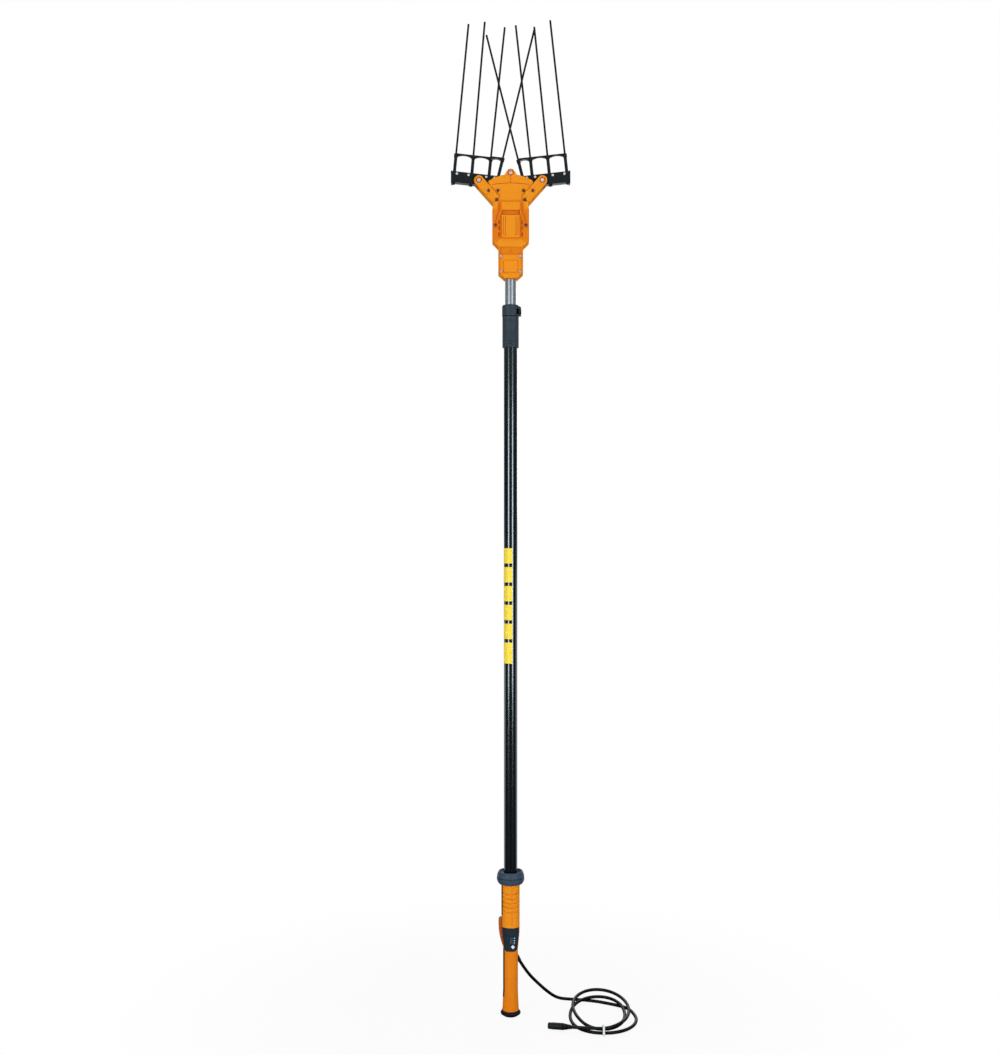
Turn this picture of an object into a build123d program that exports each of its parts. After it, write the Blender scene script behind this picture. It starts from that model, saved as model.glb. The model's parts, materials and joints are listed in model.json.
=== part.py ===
from build123d import *
import os
from math import atan2, cos, pi, radians, sin, tan

os.makedirs("parts", exist_ok=True)

# Olive harvester. Millimetres, +Z up the pole, front towards -Y, origin on the pole axis at the hand grip.

# Lengths along the pole, from the floor under the butt up to the rake pivots
GRIP_TO_BUTT = 286.0
BUTT_CAP_HEIGHT = 14.0
LOWER_GRIP_LENGTH = 150.0
PANEL_LENGTH = 59.0
UPPER_GRIP_LENGTH = 107.0
GUARD_HEIGHT = 31.0
OUTER_TUBE_SHOWN = 1306.4
SLEEVE_LENGTH = 78.0
COLLAR_GAP = 0.6
COLLAR_HEIGHT = 28.0
INNER_TUBE_SHOWN = 64.0
NECK_LENGTH = 78.0
BODY_LENGTH = 90.0
PIVOT_RISE = 75.5

# Handle
LOWER_GRIP_DIAMETER = 36.5
BUTT_FLARE_DIAMETER = 41.0
BUTT_FLARE_LENGTH = 50.0
UPPER_GRIP_DIAMETER = 45.0
PANEL_TAPER_LENGTH = 45.0
SPIGOT_DIAMETER = 31.0
SPIGOT_LENGTH = 8.0
HANDLE_CAVITY_DIAMETER = 28.0
HANDLE_FLOOR = 4.0
TUBE_GRIP_LENGTH = 74.0
BUTT_CAP_DIAMETER = 50.0
BUTT_FOOT_DIAMETER = 34.8
GUARD_DIAMETER = 69.0
GUARD_GROOVE_RADIUS = 1.5
GRIP_GROOVES = 5
GROOVE_SPACING = 11.0
GROOVE_RADIUS = 1.2
GROOVE_TILT = 14.0
GROOVE_BELOW_GUARD = 18.0
SEAM_GROOVE_X = 3.5
SEAM_GROOVE_WIDTH = 1.6
LOWER_SEAM_WIDTH = 1.0
LOWER_SEAM_DEPTH = 0.5
LOWER_SEAM_END = 6.0
INLAY_WIDTH = 20.0
INLAY_DEPTH = 1.6
INLAY_PROUD = 0.4
INLAY_ABOVE_BUTT = 34.0
PANEL_WIDTH = 42.0
PANEL_DEPTH = 2.0
PANEL_PROUD = 0.8
PANEL_EDGE_Y = -10.0
PANEL_CORNER = 9.0
BUTTON_SIZE = 7.0
BUTTON_X = 5.5
BUTTON_ABOVE_PANEL_END = 12.0
BUTTON_PROUD = 0.9
BUTTON_DEPTH = 4.6
BUTTON_CLEARANCE = 0.2
LIGHT_DIAMETER = 2.4
LIGHT_COUNT = 3
LIGHT_PITCH = 6.0
LIGHT_X = 9.5
LIGHT_DEPTH = 2.6
BOARD_THICKNESS = 1.6
BOARD_FRONT_Y = -9.8
BOARD_LENGTH = 62.0
SWITCH_SIZE = (10.0, 6.4, 20.0)
SWITCH_X = -7.4
HANDLE_SCREW_DIAMETER = 3.0
HANDLE_SCREW_HEAD = 5.6
HANDLE_SCREW_HEAD_HEIGHT = 2.2
HANDLE_SCREW_SUNK = 4.2
HANDLE_SCREW_INSET = 16.0
HANDLE_BOSS_DIAMETER = 9.0

# Trigger, hinged at its lower end
TRIGGER_WIDTH = 12.0
TRIGGER_LENGTH = 67.0
TRIGGER_PIVOT_X = -14.5
TRIGGER_PIVOT_ABOVE_PANEL = 14.0
TRIGGER_REACH = 15.5
TRIGGER_BELLY = 14.4
TRIGGER_TIP_DROP = 4.0
TRIGGER_TIP_INSET = 3.0
TRIGGER_INNER = 2.7
TRIGGER_PIN_DIAMETER = 4.0
TRIGGER_PIN_LENGTH = 18.0
TRIGGER_EYE_DIAMETER = 9.0
TRIGGER_SLOT_MARGIN = 3.0
TRIGGER_SIDE_GAP = 0.3

# Pole
OUTER_TUBE_DIAMETER = 34.0
OUTER_TUBE_WALL = 1.6
INNER_TUBE_DIAMETER = 28.0
INNER_TUBE_WALL = 1.75
INNER_TUBE_LENGTH = 1265.0
INNER_TUBE_IN_NECK = 67.0
BUSH_LENGTH = 40.0
SLIDE_CLEARANCE = 0.05
SLEEVE_DIAMETER = 41.0
SLEEVE_LIP = 4.0
SLEEVE_RIBS = 7
SLEEVE_RIB_PITCH = 6.4
SLEEVE_RIB_HEIGHT = 3.0
SLEEVE_RIB_PROUD = 0.7
SLEEVE_RIB_WIDTH = 19.0
COLLAR_DIAMETER = 42.5
COLLAR_ROUND = 4.0
COLLAR_SLIT = 2.0
LEVER_PIN_X = 20.9
LEVER_HEAD_DIAMETER = 11.6
LEVER_PIN_DIAMETER = 4.0
LEVER_ARM_INSIDE = 44.0
LEVER_ARM_THICKNESS = 4.8
LEVER_ARM_SWEEP = 125.0
LEVER_HEIGHT = 14.0
LEVER_ROUND = 2.0
EAR_THICKNESS = 4.0
EAR_WIDTH = 11.0
CABLE_DIAMETER = 8.0
GROMMET_LENGTH = 14.0
CABLE_TAIL = 14.0

# Drive head casing
NECK_WIDTH = 61.5
NECK_FOOT_WIDTH = 31.0
NECK_CHAMFER = 13.5
BODY_WIDTH = 91.4
BODY_CHAMFER = 15.0
WAIST_WIDTH = 86.6
WAIST_RISE = 22.0
PIVOT_SPACING = 157.8
ARM_WIDTH = 24.0
ARM_ROOT_X = 35.0
ARM_ROOT_DROP = 49.5
CREST_RADIUS = 99.6
CREST_HALF_CHORD = 56.0
CREST_END_DROP = 2.5
LUG_DIAMETER = 21.0
LUG_RISE = 18.5
LUG_BASE_WIDTH = 36.0
CREST_DEPTH = 21.0
ARM_DEPTH = 23.0
BODY_DEPTH = 25.0
CASING_WALL = 4.0
RAKE_SLOT_WIDTH = 23.0
RAKE_SLOT_DROP = 18.5
MECHANISM_POCKET_WIDTH = 60.0
MECHANISM_POCKET_DEPTH = 18.5
CASING_ROUND = 2.0
CABLE_PASSAGE_DIAMETER = 16.0
MOTOR_COVER_WIDTH = 46.0
MOTOR_COVER_HEIGHT = 57.0
MOTOR_COVER_DEPTH = 4.0
MOTOR_COVER_RISE = 21.0
UPPER_PAD_HEIGHT = 21.0
UPPER_PAD_DEPTH = 2.0
COOLING_SLOT_HEIGHT = 11.0
COOLING_SLOT_DEPTH = 4.0
VENT_COUNT = 3
VENT_PITCH = 15.0
VENT_SIZE = (3.5, 9.0)
VENT_X = 28.6
REAR_RIBS = 7
REAR_RIB_PITCH = 9.0
REAR_RIB_WIDTH = 3.4
REAR_RIB_HEIGHT = 2.0
PANEL_LINE_WIDTH = 1.4
PANEL_LINE_DEPTH = 1.0
PANEL_LINE_INSET = 7.0
COVER_GROOVE_INSET = 3.0
COVER_GROOVE_END = 5.0
NECK_COVER_SIZE = (42.0, 30.0, 2.2)
NECK_HOLE_DIAMETER = 3.4
NECK_HOLE_DEPTH = 4.0
SCREW_DIAMETER = 4.0
SCREW_HEAD_DIAMETER = 7.0
SCREW_HEAD_HEIGHT = 2.6
SCREW_BOSS_DIAMETER = 10.0
CASING_SCREW_PLACES = (
    (55.0, 49.0, ARM_DEPTH),
    (31.9, 49.5, CREST_DEPTH),
    (35.0, 26.6, ARM_DEPTH),
    (38.0, -37.0, BODY_DEPTH),
)
NECK_BOLT_PLACES = ((24.0, 15.5, BODY_DEPTH), (24.0, 53.5, BODY_DEPTH))
HOLE_CLEARANCE = 0.05
PIVOT_BOLT_DIAMETER = 6.0
PIVOT_HEAD_DIAMETER = 8.6
PIVOT_HEAD_HEIGHT = 3.0
PIVOT_RECESS_DIAMETER = 15.0
PIVOT_RECESS_DEPTH = 2.2
NUT_ACROSS = 10.0
NUT_HEIGHT = 5.0

# Motor, gears and yoke inside the head
MOTOR_DIAMETER = 40.0
MOTOR_LENGTH = 50.0
MOTOR_CAP_LENGTH = 8.0
GEARHEAD_DIAMETER = 36.0
GEARHEAD_LENGTH = 18.0
MOTOR_CLEARANCE = 0.3
FRAME_THICKNESS = 5.0
FRAME_WIDTH = 56.0
OUTPUT_SHAFT_DIAMETER = 6.0
OUTPUT_SHAFT_SEAT = 10.0
CRANK_ABOVE_SHOULDER = 38.0
CRANK_SHAFT_DIAMETER = 8.0
CRANK_BEARING_DIAMETER = 16.0
CRANK_DISC_DIAMETER = 24.0
CRANK_DISC_THICKNESS = 4.0
CRANK_DISC_FRONT_Y = 7.2
CRANK_PIN_DIAMETER = 6.0
CRANK_PIN_GAP = 0.4
GEAR_TEETH = 24
PINION_TEETH = 12
GEAR_MODULE = 1.3333
GEAR_BACKLASH = 0.5
GEAR_ADDENDUM = 0.8
GEAR_DEDENDUM = 1.15
GEAR_FACE_SHARE = 0.34
GEAR_HUB_LENGTH = 5.0
PRESSURE_ANGLE = 20.0
YOKE_FRONT_Y = 12.2
YOKE_THICKNESS = 4.0
YOKE_STEM_WIDTH = 32.0
YOKE_BAR_WIDTH = 54.0
YOKE_EDGE = 3.0
YOKE_PIN_CLEARANCE = 0.15
GUIDE_WIDTH = 6.0
GUIDE_CLEARANCE = 0.1

# Rakes, in the bar's own view: along the bar from its outer to its inner end, and up from the pivot
RAKE_TILT = 6.35
RAKE_SWING = 15.0
BAR_OUTER_END = -72.5
BAR_INNER_END = 63.0
BAR_BOTTOM = -9.0
BAR_TOP = 18.5
BAR_THICKNESS = 22.0
BAR_LIP = 3.5
BAR_LIP_RISE = 0.6
BAR_END_SLANT = 3.0
BAR_ROUND = 1.5
BUSH_DIAMETER = 14.0
DRIVE_PIN_REACH = 60.0
DRIVE_PIN_DROP = 3.0
DRIVE_PIN_DIAMETER = 6.0
TINE_DIAMETER = 5.0
TINE_SEAT = -3.0
TINE_PLACES = (-64.0, -20.1, 23.0, 46.8)
LEFT_TINE_LEANS = (-0.9, -1.5, -0.3, 7.4)
RIGHT_TINE_LEANS = (-0.1, -0.5, -0.1, 7.9)
LEFT_TINE_TIPS = (390.0, 400.0, 392.0, 394.0)
RIGHT_TINE_TIPS = (400.0, 388.0, 397.0, 384.0)
TINE_DEPTHS = (0.0, 0.0, 0.0, 7.5)
GUARD_LEVEL = 60.0
GUARD_POST_DIAMETER = 8.0
GUARD_COLLAR_DIAMETER = 10.0
GUARD_COLLAR_HEIGHT = 9.0
GUARD_WEB_HEIGHT = 11.0
GUARD_WEB_THICKNESS = 4.6
GUARD_ARCH_RISE = 7.0
FOOT_DIAMETER = 9.0
FOOT_HEIGHT = 3.6
RAKE_SCREW_PLACES = (-56.8, -27.6, 16.5, 36.9)
RAKE_SCREW_LEVEL = 12.6
RAKE_SCREW_DIAMETER = 3.0
RAKE_SCREW_HEAD = 6.4
RAKE_SCREW_HEAD_HEIGHT = 2.2
RAKE_SCREW_PROUD = 0.2
RAKE_SCREW_LENGTH = 14.0
BOSS_PLACE = (-42.0, 6.0)
BOSS_DIAMETER = 11.0
BOSS_PROUD = 0.5

# Supply lead: gland in the lower handle, free stretch to the floor, coil, tie and plug
CORD_DIAMETER = 8.0
GLAND_START = (11.6, 9.8)
GLAND_ABOVE_FLOOR = 150.0
GLAND_DIRECTION = (0.449, 0.359, -0.818)
GLAND_LENGTH = 25.0
GLAND_ROOT_DIAMETER = 12.0
GLAND_TIP_DIAMETER = 9.6
GLAND_SPIGOT = 5.0
COIL_CENTRE_X = 222.0
COIL_START_ANGLE = 20.0
COIL_TURNS = 842.0 / 360.0
COIL_TIGHT_TURN = 1.05
COIL_HALF_WIDTH = 62.0
COIL_DRAW_IN = 28.0
COIL_LET_OUT = 11.0
COIL_FRONT_Y = -125.0
COIL_FRONT_TURN = 1.3
COIL_FRONT_DRAW_IN = 8.0
COIL_FRONT_LET_OUT = 8.4
COIL_DEPTH = 199.0
COIL_DEPTH_GROWTH = 27.5
COIL_CLIMBS = ((0.5, 0.675), (1.38, 1.53))
COIL_LAYER = 8.6
COIL_TAIL_DROP = 4.6
COIL_TAIL_DROP_FROM = 2.2
COIL_TAIL_SLOPE = 0.065
COIL_TAIL_LENGTH = 64.0
TIE_WIDTH = 5.0
TIE_THICKNESS = 1.2
TIE_CLEARANCE = 0.9
TIE_LIFT = 2.6
LEAD_LAST_RUN = 40.0
LEAD_CORNER_SHARE = 0.45
LEAD_FIRST_RUN = 41.0
LEAD_POINTS = (
    (66.0, 54.0, 64.0),
    (94.0, 72.0, 33.0),
    (121.0, 88.0, 10.0),
    (152.0, 97.0, 4.0),
    (212.0, 86.0, 4.0),
    (262.0, 60.0, 4.0),
)
PLUG_DIAMETER = 16.4
PLUG_LENGTH = 34.0
PLUG_BORE_DIAMETER = 12.6
PLUG_BORE_DEPTH = 12.0
BOOT_LENGTH = 24.0
BOOT_TIP_DIAMETER = 10.5
CONTACT_DIAMETER = 2.4
CONTACT_LENGTH = 8.0
CONTACT_SPACING = 5.0

# Heights worked out from the lengths above
floor_z = -GRIP_TO_BUTT
lower_grip_z = floor_z + BUTT_CAP_HEIGHT
handle_foot_z = lower_grip_z - SPIGOT_LENGTH
panel_z = lower_grip_z + LOWER_GRIP_LENGTH
upper_grip_z = panel_z + PANEL_LENGTH
guard_z = upper_grip_z + UPPER_GRIP_LENGTH
tube_foot_z = guard_z - TUBE_GRIP_LENGTH
tube_shown_z = guard_z + GUARD_HEIGHT
sleeve_z = tube_shown_z + OUTER_TUBE_SHOWN
sleeve_top_z = sleeve_z + SLEEVE_LENGTH
tube_top_z = sleeve_top_z - SLEEVE_LIP
collar_z = sleeve_top_z + COLLAR_GAP
collar_top_z = collar_z + COLLAR_HEIGHT
neck_z = collar_top_z + INNER_TUBE_SHOWN
inner_tube_top_z = neck_z + INNER_TUBE_IN_NECK
inner_tube_foot_z = inner_tube_top_z - INNER_TUBE_LENGTH
body_z = neck_z + NECK_LENGTH
shoulder_z = body_z + BODY_LENGTH
pivot_z = shoulder_z + PIVOT_RISE
pivot_x = PIVOT_SPACING / 2
rake_slot_z = pivot_z - RAKE_SLOT_DROP
crank_z = shoulder_z + CRANK_ABOVE_SHOULDER
motor_z = body_z + BODY_CHAMFER + MOTOR_CLEARANCE
trigger_pivot_z = panel_z + TRIGGER_PIVOT_ABOVE_PANEL


def keep(part, name):
    """Label a finished piece and write it to its own file."""
    part.label = name
    export_step(part, f"parts/{name}.step")


def turned(points):
    """Solid turned about the pole axis from (radius, height) points."""
    with BuildPart() as body:
        with BuildSketch(Plane.XZ):
            with BuildLine():
                Polyline(*points, close=True)
            make_face()
        revolve(axis=Axis.Z)
    return body.part


def ring(outer_diameter, inner_diameter, z_from, z_to):
    """Round sleeve on the pole axis."""
    with BuildPart() as body:
        with BuildSketch(Plane.XY.offset(z_from)):
            Circle(outer_diameter / 2)
            Circle(inner_diameter / 2, mode=Mode.SUBTRACT)
        extrude(amount=z_to - z_from)
    return body.part


def disc(diameter, z_from, z_to):
    """Round rod or plug on the pole axis."""
    with BuildPart() as body:
        with BuildSketch(Plane.XY.offset(z_from)):
            Circle(diameter / 2)
        extrude(amount=z_to - z_from)
    return body.part


def slab(points, y_from, y_to):
    """Prism with its outline in the front view, from y_from back to y_to."""
    with BuildPart() as body:
        with BuildSketch(Plane.XZ.offset(-y_from)):
            with BuildLine():
                Polyline(*points, close=True)
            make_face()
        extrude(amount=y_from - y_to)
    return body.part


def block(x_span, y_span, z_span):
    """Box between two corners."""
    left, right = x_span
    low, high = z_span
    return slab([(left, low), (right, low), (right, high), (left, high)], *y_span)


def cross_plane(x, y, z):
    """Plane at a point, looking back along +Y."""
    return Plane(origin=(x, y, z), x_dir=(1, 0, 0), z_dir=(0, 1, 0))


def cross_rod(x, z, y_from, y_to, diameter):
    """Round rod along Y."""
    with BuildPart() as body:
        with BuildSketch(cross_plane(x, y_from, z)):
            Circle(diameter / 2)
        extrude(amount=y_to - y_from)
    return body.part


def rod(start, direction, length, diameter, tip_diameter=None):
    """Round rod or cone from a point along a direction."""
    axis = Plane(origin=start, z_dir=direction)
    with BuildPart() as body:
        with BuildSketch(axis):
            Circle(diameter / 2)
        if tip_diameter is None:
            extrude(amount=length)
        else:
            with BuildSketch(axis.offset(length)):
                Circle(tip_diameter / 2)
            loft()
    return body.part


def group(parts):
    """Several separate solids as one node."""
    with BuildPart() as together:
        for one in parts:
            add(one)
    return together.part


def cap_screw(x, z, face_y, length, diameter, head_diameter, head_height, facing=1):
    """Socket screw with its head on face_y, driven from the front; facing is -1 from the rear."""
    with BuildPart() as screw:
        with BuildSketch(cross_plane(x, face_y, z)):
            Circle(diameter / 2)
        extrude(amount=facing * length)
        with BuildSketch(cross_plane(x, face_y, z)):
            Circle(head_diameter / 2)
        extrude(amount=-facing * head_height)
        chamfer(screw.faces().sort_by(Axis.Y)[0 if facing > 0 else -1].edges(), head_height * 0.2)
        with BuildSketch(cross_plane(x, face_y - facing * head_height, z)):
            RegularPolygon(radius=head_diameter * 0.28, side_count=6)
        extrude(amount=facing * head_height * 0.6, mode=Mode.SUBTRACT)
    return screw.part


def mirrored_places(places, base_z):
    """The same (x, height above base_z, depth) places on both sides of the pole."""
    return [(side * x, base_z + rise, depth) for x, rise, depth in places for side in (-1, 1)]


# Handle shells
lower_radius = LOWER_GRIP_DIAMETER / 2
upper_radius = UPPER_GRIP_DIAMETER / 2
tube_bore = OUTER_TUBE_DIAMETER + 2 * HOLE_CLEARANCE
handle_screw_hole = HANDLE_SCREW_DIAMETER + 2 * HOLE_CLEARANCE
handle_curve = [
    (BUTT_FLARE_DIAMETER / 2, lower_grip_z),
    (lower_radius, lower_grip_z + BUTT_FLARE_LENGTH),
    (lower_radius, panel_z),
    (upper_radius, panel_z + PANEL_TAPER_LENGTH),
    (upper_radius, guard_z),
]


def handle_skin(proud, depth):
    """Layer that follows the outside of the handle, from depth inside it to proud of it."""
    outside = [(radius + proud, z) for radius, z in handle_curve]
    inside = [(radius - depth, z) for radius, z in reversed(handle_curve)]
    return turned(outside + inside)


def handle_radius(z):
    """Outside radius of the handle in the tapered panel stretch."""
    share = min(max((z - panel_z) / PANEL_TAPER_LENGTH, 0.0), 1.0)
    return lower_radius + share * (upper_radius - lower_radius)


trigger_slot_low = trigger_pivot_z - TRIGGER_EYE_DIAMETER / 2 - TRIGGER_SLOT_MARGIN
trigger_slot_high = trigger_pivot_z + TRIGGER_LENGTH + TRIGGER_SLOT_MARGIN
trigger_slot_half = TRIGGER_WIDTH / 2 + TRIGGER_SIDE_GAP
trigger_slot = block(
    (-UPPER_GRIP_DIAMETER, TRIGGER_PIVOT_X + TRIGGER_EYE_DIAMETER / 2 + 0.6),
    (-trigger_slot_half, trigger_slot_half),
    (trigger_slot_low, trigger_slot_high),
)
inlay_low = block(
    (-UPPER_GRIP_DIAMETER, 0),
    (-INLAY_WIDTH / 2, INLAY_WIDTH / 2),
    (lower_grip_z + INLAY_ABOVE_BUTT, trigger_slot_low - TRIGGER_SLOT_MARGIN),
)
inlay_high = block(
    (-UPPER_GRIP_DIAMETER, 0),
    (-INLAY_WIDTH / 2, INLAY_WIDTH / 2),
    (trigger_slot_high + TRIGGER_SLOT_MARGIN, guard_z),
)
panel_half = PANEL_WIDTH / 2
panel_front = slab(
    [
        (-panel_half, upper_grip_z),
        (panel_half, upper_grip_z),
        (panel_half, panel_z + PANEL_CORNER),
        (panel_half - PANEL_CORNER, panel_z),
        (PANEL_CORNER - panel_half, panel_z),
        (-panel_half, panel_z + PANEL_CORNER),
    ],
    -UPPER_GRIP_DIAMETER,
    PANEL_EDGE_Y,
)
inlay_skin = handle_skin(INLAY_PROUD, INLAY_DEPTH)
panel_skin = handle_skin(PANEL_PROUD, PANEL_DEPTH)

button_z = panel_z + BUTTON_ABOVE_PANEL_END
button_face_y = -((handle_radius(button_z) + PANEL_PROUD) ** 2 - BUTTON_X**2) ** 0.5 - BUTTON_PROUD
light_places = [button_z + BUTTON_SIZE + LIGHT_PITCH * (step + 0.5) for step in range(LIGHT_COUNT)]


def button_prism(clearance, y_from, y_to):
    """Diamond of the power button, from y_from back to y_to."""
    half = BUTTON_SIZE * 2**0.5 / 2 + clearance * 2**0.5
    corners = [
        (BUTTON_X - half, button_z),
        (BUTTON_X, button_z - half),
        (BUTTON_X + half, button_z),
        (BUTTON_X, button_z + half),
    ]
    return slab(corners, y_from, y_to)


button_well = button_prism(BUTTON_CLEARANCE, -UPPER_GRIP_DIAMETER, -HANDLE_CAVITY_DIAMETER / 2 + 2)


def light_front_y(z):
    """Front of the panel where a status light sits."""
    return -((handle_radius(z) + PANEL_PROUD) ** 2 - LIGHT_X**2) ** 0.5


light_hole = LIGHT_DIAMETER + 2 * HOLE_CLEARANCE
light_wells = [
    cross_rod(LIGHT_X, z, light_front_y(z) - PANEL_DEPTH, light_front_y(z) + LIGHT_DEPTH, light_hole)
    for z in light_places
]

gland_root = Vector(GLAND_START[0], GLAND_START[1], floor_z + GLAND_ABOVE_FLOOR)
gland_axis = Vector(*GLAND_DIRECTION).normalized()
gland_spigot_diameter = GLAND_ROOT_DIAMETER - 3.0
gland_hole = rod(
    gland_root - gland_axis * GLAND_LENGTH,
    gland_axis,
    2 * GLAND_LENGTH,
    gland_spigot_diameter + 2 * HOLE_CLEARANCE,
)
handle_screw_places = [lower_grip_z + HANDLE_SCREW_INSET, panel_z - 2 * HANDLE_SCREW_INSET]
handle_screw_seat_y = lower_radius - HANDLE_SCREW_SUNK
handle_screw_length = 2 * handle_screw_seat_y
handle_screw_holes = []
for z in handle_screw_places:
    handle_screw_holes.append(
        cross_rod(0, z, handle_screw_seat_y - handle_screw_length, handle_screw_seat_y, handle_screw_hole)
    )
    handle_screw_holes.append(
        cross_rod(0, z, handle_screw_seat_y, UPPER_GRIP_DIAMETER, HANDLE_SCREW_HEAD + 2 * HOLE_CLEARANCE)
    )
trigger_pin_hole = cross_rod(
    TRIGGER_PIVOT_X,
    trigger_pivot_z,
    -TRIGGER_PIN_LENGTH / 2 - 0.1,
    TRIGGER_PIN_LENGTH / 2 + 0.1,
    TRIGGER_PIN_DIAMETER + 2 * HOLE_CLEARANCE,
)

with BuildPart() as handle_body:
    with BuildSketch(Plane.XZ):
        with BuildLine():
            Polyline(
                (0, handle_foot_z),
                (SPIGOT_DIAMETER / 2, handle_foot_z),
                (SPIGOT_DIAMETER / 2, lower_grip_z),
                *handle_curve,
                (0, guard_z),
                close=True,
            )
        make_face()
    revolve(axis=Axis.Z)
    with BuildSketch(Plane.XY.offset(handle_foot_z + HANDLE_FLOOR)):
        Circle(HANDLE_CAVITY_DIAMETER / 2)
    extrude(amount=tube_foot_z - handle_foot_z - HANDLE_FLOOR, mode=Mode.SUBTRACT)
    for z in handle_screw_places:
        add(cross_rod(0, z, -lower_radius + INLAY_DEPTH, lower_radius - INLAY_DEPTH, HANDLE_BOSS_DIAMETER))
    for hole in handle_screw_holes:
        add(hole, mode=Mode.SUBTRACT)
    with BuildSketch(Plane.XY.offset(tube_foot_z)):
        Circle(tube_bore / 2)
    extrude(amount=TUBE_GRIP_LENGTH, mode=Mode.SUBTRACT)
    for step in range(GRIP_GROOVES):
        groove_z = guard_z - GROOVE_BELOW_GUARD - step * GROOVE_SPACING
        with Locations(Location((0, 0, groove_z), (GROOVE_TILT, 0, 0))):
            Torus(upper_radius + 0.4, GROOVE_RADIUS, mode=Mode.SUBTRACT)
    with BuildSketch(Plane.XZ.offset(upper_radius - GROOVE_RADIUS)):
        with Locations((SEAM_GROOVE_X, (upper_grip_z + guard_z) / 2)):
            Rectangle(SEAM_GROOVE_WIDTH, UPPER_GRIP_LENGTH - GROOVE_SPACING)
    extrude(amount=upper_radius, mode=Mode.SUBTRACT)
    with BuildSketch(Plane.XZ.offset(lower_radius - LOWER_SEAM_DEPTH)):
        with Locations((SEAM_GROOVE_X, lower_grip_z + BUTT_FLARE_LENGTH)):
            Rectangle(
                LOWER_SEAM_WIDTH,
                LOWER_GRIP_LENGTH - BUTT_FLARE_LENGTH - LOWER_SEAM_END,
                align=(Align.CENTER, Align.MIN),
            )
    extrude(amount=lower_radius, mode=Mode.SUBTRACT)
    add(trigger_slot, mode=Mode.SUBTRACT)
    add(trigger_pin_hole, mode=Mode.SUBTRACT)
    add(inlay_skin & inlay_low, mode=Mode.SUBTRACT)
    add(inlay_skin & inlay_high, mode=Mode.SUBTRACT)
    add(panel_skin & panel_front, mode=Mode.SUBTRACT)
    add(button_well, mode=Mode.SUBTRACT)
    for well in light_wells:
        add(well, mode=Mode.SUBTRACT)
    add(gland_hole, mode=Mode.SUBTRACT)

with BuildPart() as handle_front:
    add(handle_body.part)
    split(bisect_by=Plane.XZ, keep=Keep.TOP)
keep(handle_front.part, "handle_front_shell")

with BuildPart() as handle_rear:
    add(handle_body.part)
    split(bisect_by=Plane.XZ, keep=Keep.BOTTOM)
keep(handle_rear.part, "handle_rear_shell")

keep(
    group(
        cap_screw(
            0,
            z,
            handle_screw_seat_y,
            handle_screw_length,
            HANDLE_SCREW_DIAMETER,
            HANDLE_SCREW_HEAD,
            HANDLE_SCREW_HEAD_HEIGHT,
            facing=-1,
        )
        for z in handle_screw_places
    ),
    "handle_screws",
)

keep(group([inlay_skin & inlay_low, inlay_skin & inlay_high]), "grip_inlay")

with BuildPart() as control_panel:
    add(panel_skin & panel_front)
    add(button_well, mode=Mode.SUBTRACT)
    for well in light_wells:
        add(well, mode=Mode.SUBTRACT)
keep(control_panel.part, "control_panel")

with BuildPart() as power_button:
    add(button_prism(0, button_face_y, button_face_y + BUTTON_DEPTH))
    chamfer(power_button.faces().sort_by(Axis.Y)[0].edges(), BUTTON_PROUD / 3)
keep(power_button.part, "power_button")

keep(
    group(
        cross_rod(LIGHT_X, z, light_front_y(z), light_front_y(z) + LIGHT_DEPTH, LIGHT_DIAMETER)
        for z in light_places
    ),
    "status_lights",
)

# Board and switch inside the handle
board_rear_y = BOARD_FRONT_Y + BOARD_THICKNESS
board_half = ((HANDLE_CAVITY_DIAMETER / 2 - 0.2) ** 2 - BOARD_FRONT_Y**2) ** 0.5
board_z = trigger_pivot_z + TRIGGER_EYE_DIAMETER
keep(
    block((-board_half, board_half), (BOARD_FRONT_Y, board_rear_y), (board_z, board_z + BOARD_LENGTH)),
    "circuit_board",
)
switch_length, switch_depth, switch_height = SWITCH_SIZE
switch_z = board_z + 18.0
keep(
    block(
        (SWITCH_X, SWITCH_X + switch_length),
        (board_rear_y, board_rear_y + switch_depth),
        (switch_z, switch_z + switch_height),
    ),
    "trigger_switch",
)

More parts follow.
